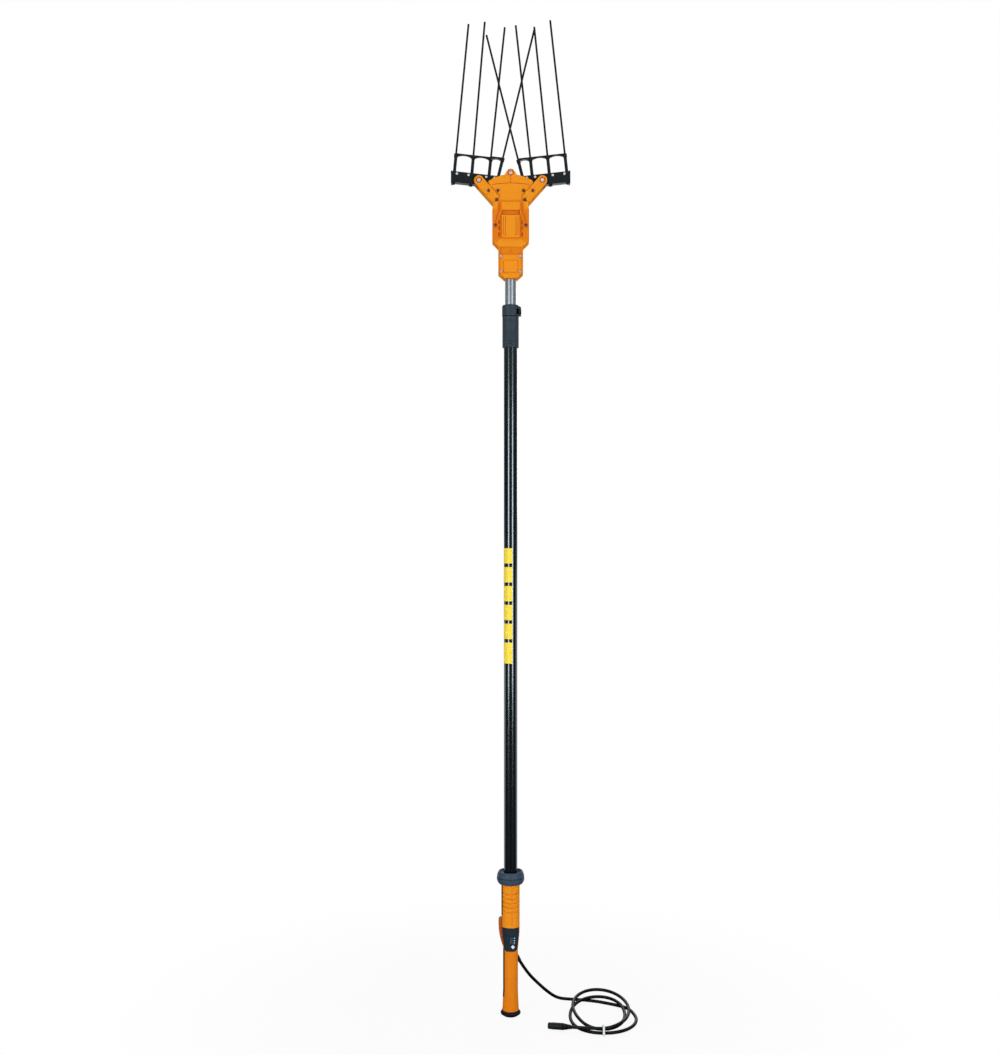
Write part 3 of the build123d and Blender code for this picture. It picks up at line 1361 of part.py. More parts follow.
def tooth_outline(teeth, pitch_radius, mate_radius, turned_by, scale):
    """Corners of a bevel wheel's outline in a plane across its axis, tooth by tooth."""
    slant = cos(atan2(pitch_radius, mate_radius))
    half_tooth = (pi * pitch_radius / teeth - GEAR_BACKLASH) / 2
    tip_radius = pitch_radius + GEAR_ADDENDUM / slant
    root_radius = pitch_radius - GEAR_DEDENDUM / slant
    flank = tan(radians(PRESSURE_ANGLE))
    tip_turn = (half_tooth - GEAR_ADDENDUM * flank) / pitch_radius
    root_turn = (half_tooth + GEAR_DEDENDUM * flank) / pitch_radius
    corners = []
    for tooth in range(teeth):
        middle = turned_by + 2 * pi * tooth / teeth
        for radius, turn in (
            (root_radius, -root_turn),
            (tip_radius, -tip_turn),
            (tip_radius, tip_turn),
            (root_radius, root_turn),
        ):
            corners.append((scale * radius * cos(middle + turn), scale * radius * sin(middle + turn)))
    return corners


def bevel_wheel(axis_plane, teeth, pitch_radius, mate_radius, turned_by):
    """Bevel wheel with its hub; axis_plane lies at the cone's tip and looks away from the wheel."""
    root_radius = pitch_radius - GEAR_DEDENDUM / cos(atan2(pitch_radius, mate_radius))
    with BuildPart() as wheel:
        for scale in (1.0, 1.0 - GEAR_FACE_SHARE):
            with BuildSketch(axis_plane.offset(-mate_radius * scale)):
                with BuildLine():
                    Polyline(*tooth_outline(teeth, pitch_radius, mate_radius, turned_by, scale), close=True)
                make_face()
        loft(ruled=True)
        with BuildSketch(axis_plane.offset(-mate_radius)):
            Circle(root_radius)
        extrude(amount=-GEAR_HUB_LENGTH)
    return wheel.part


pinion_plane = Plane(origin=(0, 0, crank_z), x_dir=(0, -1, 0), z_dir=(0, 0, 1))
gear_plane = Plane(origin=(0, 0, crank_z), x_dir=(0, 0, -1), z_dir=(0, 1, 0))
pinion_top_z = crank_z - gear_radius * (1.0 - GEAR_FACE_SHARE)
with BuildPart() as motor_pinion:
    add(bevel_wheel(pinion_plane, PINION_TEETH, pinion_radius, gear_radius, 0.0))
    add(disc(OUTPUT_SHAFT_DIAMETER, frame_z - OUTPUT_SHAFT_SEAT, pinion_top_z))
keep(motor_pinion.part, "motor_pinion")

with BuildPart() as bevel_gear:
    add(bevel_wheel(gear_plane, GEAR_TEETH, gear_radius, pinion_radius, pi / GEAR_TEETH))
    add(cross_rod(0, crank_z, frame_front_y, CRANK_DISC_FRONT_Y, crank_bore), mode=Mode.SUBTRACT)
keep(bevel_gear.part, "bevel_gear")

# Rake geometry that the crank, the yoke and the drive pins share
swing_rest = radians(RAKE_TILT) + atan2(DRIVE_PIN_DROP, DRIVE_PIN_REACH)
drive_radius = (DRIVE_PIN_REACH**2 + DRIVE_PIN_DROP**2) ** 0.5
yoke_stroke = drive_radius * (sin(radians(RAKE_SWING) - swing_rest) + sin(swing_rest))
crank_throw = yoke_stroke / 2
crank_pin_z = crank_z - crank_throw
drive_x = pivot_x - drive_radius * cos(swing_rest)
drive_z = pivot_z - drive_radius * sin(swing_rest)

crank_disc_back_y = CRANK_DISC_FRONT_Y + CRANK_DISC_THICKNESS
with BuildPart() as crank:
    add(cross_rod(0, crank_z, frame_front_y + HOLE_CLEARANCE, CRANK_DISC_FRONT_Y, CRANK_SHAFT_DIAMETER))
    add(cross_rod(0, crank_z, CRANK_DISC_FRONT_Y, crank_disc_back_y, CRANK_DISC_DIAMETER))
    add(cross_rod(0, crank_pin_z, crank_disc_back_y, YOKE_FRONT_Y - CRANK_PIN_GAP, CRANK_PIN_DIAMETER))
keep(crank.part, "crank")

# Yoke with a cross slot for the crank pin and a short slot for each drive pin
drive_hole = DRIVE_PIN_DIAMETER / 2 + YOKE_PIN_CLEARANCE
yoke_bar_half = YOKE_BAR_WIDTH / 2
yoke_stem_half = YOKE_STEM_WIDTH / 2
yoke_foot_z = crank_pin_z - CRANK_PIN_DIAMETER / 2 - YOKE_PIN_CLEARANCE - YOKE_EDGE
drive_slot_x = pivot_x - drive_radius + (drive_x - pivot_x + drive_radius) / 2
drive_slot_length = DRIVE_PIN_DIAMETER + 2 * (drive_x - pivot_x + drive_radius) + 2 * YOKE_PIN_CLEARANCE
with BuildPart() as yoke:
    with BuildSketch(Plane.XZ.offset(-YOKE_FRONT_Y)):
        with BuildLine():
            Polyline(
                (-yoke_bar_half, drive_z + drive_hole + YOKE_EDGE),
                (-yoke_bar_half, drive_z - drive_hole - YOKE_EDGE),
                (-yoke_stem_half, drive_z - drive_hole - YOKE_EDGE),
                (-yoke_stem_half, yoke_foot_z),
                (yoke_stem_half, yoke_foot_z),
                (yoke_stem_half, drive_z - drive_hole - YOKE_EDGE),
                (yoke_bar_half, drive_z - drive_hole - YOKE_EDGE),
                (yoke_bar_half, drive_z + drive_hole + YOKE_EDGE),
                close=True,
            )
        make_face()
        with Locations((0, crank_pin_z)):
            SlotOverall(
                2 * crank_throw + CRANK_PIN_DIAMETER + 1.0,
                CRANK_PIN_DIAMETER + 2 * YOKE_PIN_CLEARANCE,
                mode=Mode.SUBTRACT,
            )
        with Locations((-drive_slot_x, drive_z), (drive_slot_x, drive_z)):
            SlotOverall(drive_slot_length, 2 * drive_hole, mode=Mode.SUBTRACT)
    extrude(amount=-YOKE_THICKNESS)
keep(yoke.part, "yoke")

guide_inner_x = yoke_stem_half + GUIDE_CLEARANCE
guide_span = (YOKE_FRONT_Y, MECHANISM_POCKET_DEPTH)
guide_heights = (yoke_foot_z, drive_z - drive_hole - YOKE_EDGE - 1.0)
guide_outer_x = guide_inner_x + GUIDE_WIDTH
keep(
    group(
        [
            block((-guide_outer_x, -guide_inner_x), guide_span, guide_heights),
            block((guide_inner_x, guide_outer_x), guide_span, guide_heights),
        ]
    ),
    "yoke_guides",
)


# Rakes
def rake_frame(side):
    """Plane of one rake at its pivot: along the bar to its inner end, then up; side is -1 for the left."""
    tilt = radians(RAKE_TILT)
    along_bar = (-side * cos(tilt), 0, -sin(tilt))
    return Plane(origin=(side * pivot_x, 0, pivot_z), x_dir=along_bar, z_dir=(0, side, 0))


def tine_line(frame, place, lean, tip, depth):
    """Foot and tip of one tine; its place is where it leaves the top of the bar."""
    slope = tan(radians(lean))
    foot = frame.from_local_coords((place + slope * (TINE_SEAT - BAR_TOP), TINE_SEAT, depth))
    head = frame.from_local_coords((place + slope * (tip - BAR_TOP), tip, depth))
    return foot, head


def tine_stick(foot, head, diameter):
    """Round rod between two points."""
    return rod(foot, head - foot, (head - foot).length, diameter)


def bar_end(level):
    """Place of the bar's slanted outer end at one level."""
    return BAR_OUTER_END + BAR_END_SLANT * (BAR_TOP - level) / (BAR_TOP - BAR_BOTTOM)


def rounded_plate(plane, corners, thickness, edge_round):
    """Plate centred on a plane, with the given corners and its face edges rounded."""
    with BuildPart() as plate:
        with BuildSketch(plane.offset(-thickness / 2)):
            with BuildLine():
                Polyline(*corners, close=True)
            make_face()
        extrude(amount=thickness)
        for face in plate.faces().filter_by(Axis.Y):
            fillet(face.edges(), edge_round)
    return plate.part


def guard_web(frame, ends, depth_from, depth_to):
    """Arched web between two neighbouring posts of a tine guard."""
    left, right = ends
    top = GUARD_LEVEL + GUARD_WEB_HEIGHT / 2
    low = GUARD_LEVEL - GUARD_WEB_HEIGHT / 2
    with BuildPart() as web:
        with BuildSketch(frame.offset(depth_from)):
            with BuildLine():
                Polyline((left, low), (left, top), (right, top), (right, low))
                ThreePointArc((right, low), ((left + right) / 2, low + GUARD_ARCH_RISE), (left, low))
            make_face()
        extrude(amount=depth_to - depth_from)
    return web.part


def rake_guard(frame, lines, places_at_level):
    """Arched guard that stands on the bar and holds every tine."""
    up = frame.y_dir
    posts = []
    holes = []
    for foot, head in lines:
        along = (head - foot).normalized()
        climb = along.dot(up)
        level = foot + along * ((GUARD_LEVEL - TINE_SEAT) / climb)
        posts.append(tine_stick(foot, level, GUARD_POST_DIAMETER))
        collar_reach = along * (GUARD_COLLAR_HEIGHT / 2)
        posts.append(tine_stick(level - collar_reach, level + collar_reach, GUARD_COLLAR_DIAMETER))
        holes.append(tine_stick(foot, head, TINE_DIAMETER + 2 * HOLE_CLEARANCE))
    half_web = GUARD_WEB_THICKNESS / 2
    webs = []
    for start in range(len(lines) - 1):
        depths = TINE_DEPTHS[start : start + 2]
        ends = places_at_level[start : start + 2]
        webs.append(guard_web(frame, ends, min(depths) - half_web, max(depths) + half_web))
    with BuildPart() as guard:
        for piece in posts + webs:
            add(piece)
        with BuildSketch(frame.offset(-BAR_THICKNESS)):
            with Locations((0, BAR_TOP)):
                Rectangle(4 * BAR_INNER_END, 2 * BAR_TOP, align=(Align.CENTER, Align.MAX))
        extrude(amount=2 * BAR_THICKNESS, mode=Mode.SUBTRACT)
        for hole in holes:
            add(hole, mode=Mode.SUBTRACT)
    return guard.part


def rake_bar(frame, lines, screw_places, drive_place):
    """Bar with its end lip, tine feet, bush bore, tine holes and screw seats."""
    half = BAR_THICKNESS / 2
    feet = [
        rod(
            frame.from_local_coords((place, BAR_BOTTOM - FOOT_HEIGHT, 0)),
            frame.y_dir,
            FOOT_HEIGHT + BAR_ROUND,
            FOOT_DIAMETER,
        )
        for place in TINE_PLACES[:2]
    ]
    boss_foot = frame.from_local_coords((*BOSS_PLACE, -half - BOSS_PROUD))
    boss = rod(boss_foot, frame.z_dir, BAR_THICKNESS + 2 * BOSS_PROUD, BOSS_DIAMETER)
    holes = [tine_stick(foot, head, TINE_DIAMETER + 2 * HOLE_CLEARANCE) for foot, head in lines]
    seat_y = -half + RAKE_SCREW_HEAD_HEIGHT - RAKE_SCREW_PROUD
    screw_hole = RAKE_SCREW_DIAMETER + 2 * HOLE_CLEARANCE
    for x, z in screw_places:
        holes.append(cross_rod(x, z, -half, seat_y, RAKE_SCREW_HEAD + 2 * HOLE_CLEARANCE))
        holes.append(cross_rod(x, z, -half, seat_y + RAKE_SCREW_LENGTH, screw_hole))
    holes.append(cross_rod(*drive_place, -half, half, DRIVE_PIN_DIAMETER + 2 * HOLE_CLEARANCE))
    holes.append(cross_rod(frame.origin.X, frame.origin.Z, -half, half, BUSH_DIAMETER + 2 * HOLE_CLEARANCE))
    beam_corners = [
        (bar_end(BAR_TOP) + BAR_LIP / 2, BAR_TOP),
        (BAR_INNER_END, BAR_TOP),
        (BAR_INNER_END, BAR_BOTTOM),
        (bar_end(BAR_BOTTOM) + BAR_LIP / 2, BAR_BOTTOM),
    ]
    beam = rounded_plate(frame, beam_corners, BAR_THICKNESS, BAR_ROUND)
    lip_low = BAR_BOTTOM - BAR_LIP
    lip_high = BAR_TOP + BAR_LIP_RISE
    lip_corners = [
        (bar_end(lip_low), lip_low),
        (bar_end(lip_low) + BAR_LIP, lip_low),
        (bar_end(lip_high) + BAR_LIP, lip_high),
        (bar_end(lip_high), lip_high),
    ]
    end_lip = rounded_plate(frame, lip_corners, BAR_THICKNESS, BAR_LIP / 4)
    with BuildPart() as bar:
        add(beam)
        add(end_lip)
        for foot in feet:
            add(foot)
        add(boss)
        for hole in holes:
            add(hole, mode=Mode.SUBTRACT)
    return bar.part


def make_rake(side, name, leans, tips):
    """All pieces of one rake, each in its own file."""
    frame = rake_frame(side)
    lines = [tine_line(frame, *numbers) for numbers in zip(TINE_PLACES, leans, tips, TINE_DEPTHS)]
    places_at_level = [
        place + tan(radians(lean)) * (GUARD_LEVEL - BAR_TOP) for place, lean in zip(TINE_PLACES, leans)
    ]
    screw_spots = [frame.from_local_coords((place, RAKE_SCREW_LEVEL, 0)) for place in RAKE_SCREW_PLACES]
    screw_places = [(spot.X, spot.Z) for spot in screw_spots]
    drive_place = (side * drive_x, drive_z)
    half = BAR_THICKNESS / 2
    seat_y = -half + RAKE_SCREW_HEAD_HEIGHT - RAKE_SCREW_PROUD
    keep(rake_bar(frame, lines, screw_places, drive_place), f"{name}_rake_bar")
    keep(rake_guard(frame, lines, places_at_level), f"{name}_tine_guard")
    keep(group(tine_stick(foot, head, TINE_DIAMETER) for foot, head in lines), f"{name}_tines")
    keep(
        group(
            cap_screw(
                x,
                z,
                seat_y,
                RAKE_SCREW_LENGTH,
                RAKE_SCREW_DIAMETER,
                RAKE_SCREW_HEAD,
                RAKE_SCREW_HEAD_HEIGHT,
            )
            for x, z in screw_places
        ),
        f"{name}_bar_screws",
    )
    with BuildPart() as bush:
        add(cross_rod(side * pivot_x, pivot_z, -half, half, BUSH_DIAMETER))
        add(
            cross_rod(side * pivot_x, pivot_z, -half, half, PIVOT_BOLT_DIAMETER + 2 * SLIDE_CLEARANCE),
            mode=Mode.SUBTRACT,
        )
    keep(bush.part, f"{name}_rake_bush")
    pin_end_y = YOKE_FRONT_Y + YOKE_THICKNESS + YOKE_PIN_CLEARANCE
    keep(cross_rod(*drive_place, -half, pin_end_y, DRIVE_PIN_DIAMETER), f"{name}_drive_pin")


make_rake(-1, "left", LEFT_TINE_LEANS, LEFT_TINE_TIPS)
make_rake(1, "right", RIGHT_TINE_LEANS, RIGHT_TINE_TIPS)

# Supply lead: strain relief, free stretch, coil, tie, boot and plug
cord_radius = CORD_DIAMETER / 2
gland_tip = gland_root + gland_axis * GLAND_LENGTH
gland_barrel = rod(gland_root, gland_axis, GLAND_LENGTH, GLAND_ROOT_DIAMETER, GLAND_TIP_DIAMETER)
gland_spigot = rod(gland_root - gland_axis * GLAND_SPIGOT, gland_axis, GLAND_SPIGOT, gland_spigot_diameter)
with BuildPart() as cord_gland:
    add(gland_barrel - handle_skin(0, HANDLE_CAVITY_DIAMETER / 2))
    add(gland_spigot)
keep(cord_gland.part, "cord_gland")


def ramp(value, start, end):
    """Smooth climb from 0 to 1 between two values."""
    share = min(max((value - start) / (end - start), 0.0), 1.0)
    return share * share * (3.0 - 2.0 * share)


def coil_point(turns):
    """Middle of the lead after a number of turns of the coil, clockwise from above."""
    angle = radians(COIL_START_ANGLE) - 2 * pi * turns
    half_width = COIL_HALF_WIDTH + max(
        COIL_DRAW_IN * (COIL_TIGHT_TURN - turns), COIL_LET_OUT * (turns - COIL_TIGHT_TURN)
    )
    front_y = COIL_FRONT_Y - max(
        COIL_FRONT_DRAW_IN * (COIL_FRONT_TURN - turns), COIL_FRONT_LET_OUT * (turns - COIL_FRONT_TURN)
    )
    depth = COIL_DEPTH + COIL_DEPTH_GROWTH * turns
    layers = [ramp(turns, start, end) for start, end in COIL_CLIMBS]
    under_tie = TIE_LIFT * (1.0 - layers[0]) * max(0.0, -sin(angle)) ** 4
    lift = COIL_LAYER * sum(layers) - COIL_TAIL_DROP * ramp(turns, COIL_TAIL_DROP_FROM, COIL_TURNS)
    return Vector(
        COIL_CENTRE_X + half_width * cos(angle),
        front_y + depth * (1.0 + sin(angle)) / 2,
        floor_z + cord_radius + lift + under_tie,
    )


def coil_heading(turns):
    """Direction of the lead in the coil."""
    step = 0.01
    heading = coil_point(turns + step) - coil_point(turns - step)
    if turns == COIL_TURNS:
        heading = Vector(heading.X, heading.Y, -COIL_TAIL_SLOPE * heading.length)
    return heading.normalized()


def biarc_middle(start, start_heading, end, end_heading):
    """Joint of the two arcs that lead from one point and heading to another, with its heading."""
    chord = end - start
    both = start_heading + end_heading
    turning = 2.0 * (1.0 - start_heading.dot(end_heading))
    reach = (-chord.dot(both) + (chord.dot(both) ** 2 + turning * chord.dot(chord)) ** 0.5) / turning
    near = start + start_heading * reach
    far = end - end_heading * reach
    return (near + far) * 0.5, (far - near).normalized()


quarter_turns = [step / 4 for step in range(int(COIL_TURNS * 4) + 1)] + [COIL_TURNS]
coil_start = coil_point(0)
coil_end = coil_point(COIL_TURNS)
coil_end_heading = coil_heading(COIL_TURNS)
tail_end = coil_end + coil_end_heading * COIL_TAIL_LENGTH
coil_lead_in = coil_start - coil_heading(0) * CORD_DIAMETER
with BuildLine() as coil_route:
    Line(coil_lead_in, coil_start)
    for before, after in zip(quarter_turns, quarter_turns[1:]):
        middle, middle_heading = biarc_middle(
            coil_point(before), coil_heading(before), coil_point(after), coil_heading(after)
        )
        TangentArc(coil_point(before), middle, tangent=coil_heading(before))
        TangentArc(middle, coil_point(after), tangent=middle_heading)
    Line(coil_end, tail_end)


def lead_tube(route):
    """Round lead swept along a route."""
    line = route.wire()
    with BuildPart() as tube:
        with BuildSketch(Plane(origin=line @ 0, z_dir=line % 0)):
            Circle(cord_radius)
        sweep(path=line)
    return tube.part


def least_gap(route):
    """Smallest space between stretches of the lead that are not next to each other."""
    line = route.wire()
    count = int(line.length / cord_radius)
    places = [line @ (step / count) for step in range(count + 1)]
    apart = 5
    return min(
        (places[one] - places[other]).length - CORD_DIAMETER
        for one in range(count + 1)
        for other in range(one + apart, count + 1)
    )


coil_tube = lead_tube(coil_route)
keep(coil_tube, "lead_coil")
print("coil least gap", round(least_gap(coil_route), 2), "length", round(coil_route.wire().length, 1))

lead_corners = [gland_tip, gland_tip + gland_axis * LEAD_FIRST_RUN]
lead_corners += [Vector(x, y, floor_z + z) for x, y, z in LEAD_POINTS]
lead_corners.append(coil_start - coil_heading(0) * LEAD_LAST_RUN)
lead_corners.append(coil_lead_in)
with BuildLine() as lead_route:
    here = lead_corners[0]
    for before, corner, after in zip(lead_corners, lead_corners[1:], lead_corners[2:]):
        arriving = corner - before
        leaving = after - corner
        reach = LEAD_CORNER_SHARE * min(arriving.length, leaving.length)
        bend_start = corner - arriving.normalized() * reach
        bend_end = corner + leaving.normalized() * reach
        Line(here, bend_start)
        TangentArc(bend_start, bend_end, tangent=arriving.normalized())
        here = bend_end
    Line(here, lead_corners[-1])
lead_free = lead_tube(lead_route)
keep(lead_free, "lead_free")
print("lead length", round(lead_route.wire().length, 1))

# Tie round the three front strands of the coil
front_turn = (COIL_START_ANGLE + 90.0) / 360.0
strands = [coil_point(front_turn + turn) for turn in range(int(COIL_TURNS - front_turn) + 1)]
tie_margin = cord_radius + TIE_CLEARANCE
tie_front_y = min(strand.Y for strand in strands) - tie_margin
tie_back_y = max(strand.Y for strand in strands) + tie_margin
tie_low_z = min(strand.Z for strand in strands) - tie_margin
tie_high_z = max(strand.Z for strand in strands) + tie_margin
with BuildPart() as cord_tie:
    with BuildSketch(Plane.YZ.offset(COIL_CENTRE_X - TIE_WIDTH / 2)):
        with Locations(((tie_front_y + tie_back_y) / 2, (tie_low_z + tie_high_z) / 2)):
            RectangleRounded(
                tie_back_y - tie_front_y + 2 * TIE_THICKNESS,
                tie_high_z - tie_low_z + 2 * TIE_THICKNESS,
                cord_radius,
            )
            RectangleRounded(
                tie_back_y - tie_front_y,
                tie_high_z - tie_low_z,
                cord_radius - TIE_THICKNESS,
                mode=Mode.SUBTRACT,
            )
    extrude(amount=TIE_WIDTH)
keep(cord_tie.part, "cord_tie")

boot_end = tail_end + coil_end_heading * BOOT_LENGTH
plug_end = boot_end + coil_end_heading * PLUG_LENGTH
plug_floor = plug_end - coil_end_heading * PLUG_BORE_DEPTH
keep(rod(tail_end, coil_end_heading, BOOT_LENGTH, BOOT_TIP_DIAMETER, PLUG_DIAMETER), "plug_boot")
with BuildPart() as plug:
    add(rod(boot_end, coil_end_heading, PLUG_LENGTH, PLUG_DIAMETER))
    add(rod(plug_floor, coil_end_heading, PLUG_BORE_DEPTH, PLUG_BORE_DIAMETER), mode=Mode.SUBTRACT)
keep(plug.part, "plug")
contact_plane = Plane(origin=plug_floor, z_dir=coil_end_heading)
keep(
    group(
        rod(
            contact_plane.from_local_coords((side * CONTACT_SPACING / 2, 0, 0)),
            coil_end_heading,
            CONTACT_LENGTH,
            CONTACT_DIAMETER,
        )
        for side in (-1, 1)
    ),
    "plug_contacts",
)
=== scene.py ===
"""Olive harvester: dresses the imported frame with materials, the supply lead, light and a camera."""

from __future__ import annotations

import json
import logging
import math
from dataclasses import dataclass, field
from enum import Enum
from typing import Any, Callable, Sequence, Union

import bmesh
import bpy
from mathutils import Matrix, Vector

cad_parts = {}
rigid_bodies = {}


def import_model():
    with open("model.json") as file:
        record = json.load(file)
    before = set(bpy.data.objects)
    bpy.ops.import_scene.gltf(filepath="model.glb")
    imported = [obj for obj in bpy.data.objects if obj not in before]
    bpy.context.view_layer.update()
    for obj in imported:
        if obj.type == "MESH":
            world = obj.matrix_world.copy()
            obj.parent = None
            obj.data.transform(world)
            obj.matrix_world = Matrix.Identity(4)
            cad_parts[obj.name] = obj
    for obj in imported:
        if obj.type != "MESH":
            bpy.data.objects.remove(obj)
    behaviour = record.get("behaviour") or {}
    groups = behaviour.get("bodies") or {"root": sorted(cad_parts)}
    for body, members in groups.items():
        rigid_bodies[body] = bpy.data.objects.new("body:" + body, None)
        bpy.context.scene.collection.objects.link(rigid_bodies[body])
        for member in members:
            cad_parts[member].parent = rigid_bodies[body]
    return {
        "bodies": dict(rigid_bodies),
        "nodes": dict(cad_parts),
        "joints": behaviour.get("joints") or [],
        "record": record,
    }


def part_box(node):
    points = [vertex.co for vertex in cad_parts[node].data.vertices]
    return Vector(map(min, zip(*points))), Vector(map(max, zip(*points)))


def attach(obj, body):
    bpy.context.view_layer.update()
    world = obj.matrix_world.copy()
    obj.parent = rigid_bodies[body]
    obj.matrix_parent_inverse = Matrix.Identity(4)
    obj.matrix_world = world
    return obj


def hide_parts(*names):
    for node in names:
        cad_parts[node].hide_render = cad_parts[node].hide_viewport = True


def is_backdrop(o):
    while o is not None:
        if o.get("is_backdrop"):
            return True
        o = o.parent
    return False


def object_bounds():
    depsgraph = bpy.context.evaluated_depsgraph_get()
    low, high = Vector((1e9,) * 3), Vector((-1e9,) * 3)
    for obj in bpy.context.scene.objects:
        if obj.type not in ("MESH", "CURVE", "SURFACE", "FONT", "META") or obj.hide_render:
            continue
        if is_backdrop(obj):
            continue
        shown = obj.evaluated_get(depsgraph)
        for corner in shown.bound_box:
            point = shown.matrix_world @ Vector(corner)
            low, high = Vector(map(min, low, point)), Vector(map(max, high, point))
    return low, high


LOG = logging.getLogger("harvester")
MM = 0.001
SMOOTH_ANGLE = math.radians(35.0)
NOISE_MEAN = 0.5

Colour = tuple[float, float, float]
Point = tuple[float, float, float]
Span = tuple[float, float]
Profile = list[tuple[float, float]]


def srgb(red: int, green: int, blue: int) -> Colour:
    """Turn a display colour into the linear colour that shaders use.

    Args:
        red: Red level, 0 to 255.
        green: Green level, 0 to 255.
        blue: Blue level, 0 to 255.

    Returns:
        The linear colour.
    """

    def linear(level: int) -> float:
        """Undo the sRGB display curve for one channel."""
        share = level / 255.0
        return share / 12.92 if share <= 0.04045 else ((share + 0.055) / 1.055) ** 2.4

    return (linear(red), linear(green), linear(blue))


class Signal:
    """A shader socket that takes part in ordinary arithmetic."""

    def __init__(self, graph: Graph, socket: bpy.types.NodeSocket) -> None:
        """Keep the socket and the graph that it belongs to."""
        self.graph = graph
        self.socket = socket

    def _math(self, operation: str, left: Operand, right: Operand) -> Signal:
        """Add one Math node."""
        return self.graph.node("ShaderNodeMath", {"operation": operation}, {0: left, 1: right})

    def __add__(self, other: Operand) -> Signal:
        """Sum of two values."""
        return self._math("ADD", self, other)

    def __radd__(self, other: Operand) -> Signal:
        """Sum with the number first."""
        return self._math("ADD", other, self)

    def __sub__(self, other: Operand) -> Signal:
        """Difference of two values."""
        return self._math("SUBTRACT", self, other)

    def __rsub__(self, other: Operand) -> Signal:
        """Difference with the number first."""
        return self._math("SUBTRACT", other, self)

    def __mul__(self, other: Operand) -> Signal:
        """Product of two values."""
        return self._math("MULTIPLY", self, other)

    def __rmul__(self, other: Operand) -> Signal:
        """Product with the number first."""
        return self._math("MULTIPLY", other, self)

    def above(self, level: Operand) -> Signal:
        """1 where the value is greater than a level, else 0."""
        return self._math("GREATER_THAN", self, level)

    def repeat(self, length: Operand) -> Signal:
        """Remainder of the value over a length, never negative."""
        return self._math("FLOORED_MODULO", self, length)

    def most(self, other: Operand) -> Signal:
        """The greater of two values."""
        return self._math("MAXIMUM", self, other)

    def size(self) -> Signal:
        """The value without its sign."""
        return self._math("ABSOLUTE", self, 0.0)


Operand = Union[Signal, float]
Tone = Union[Signal, Colour]


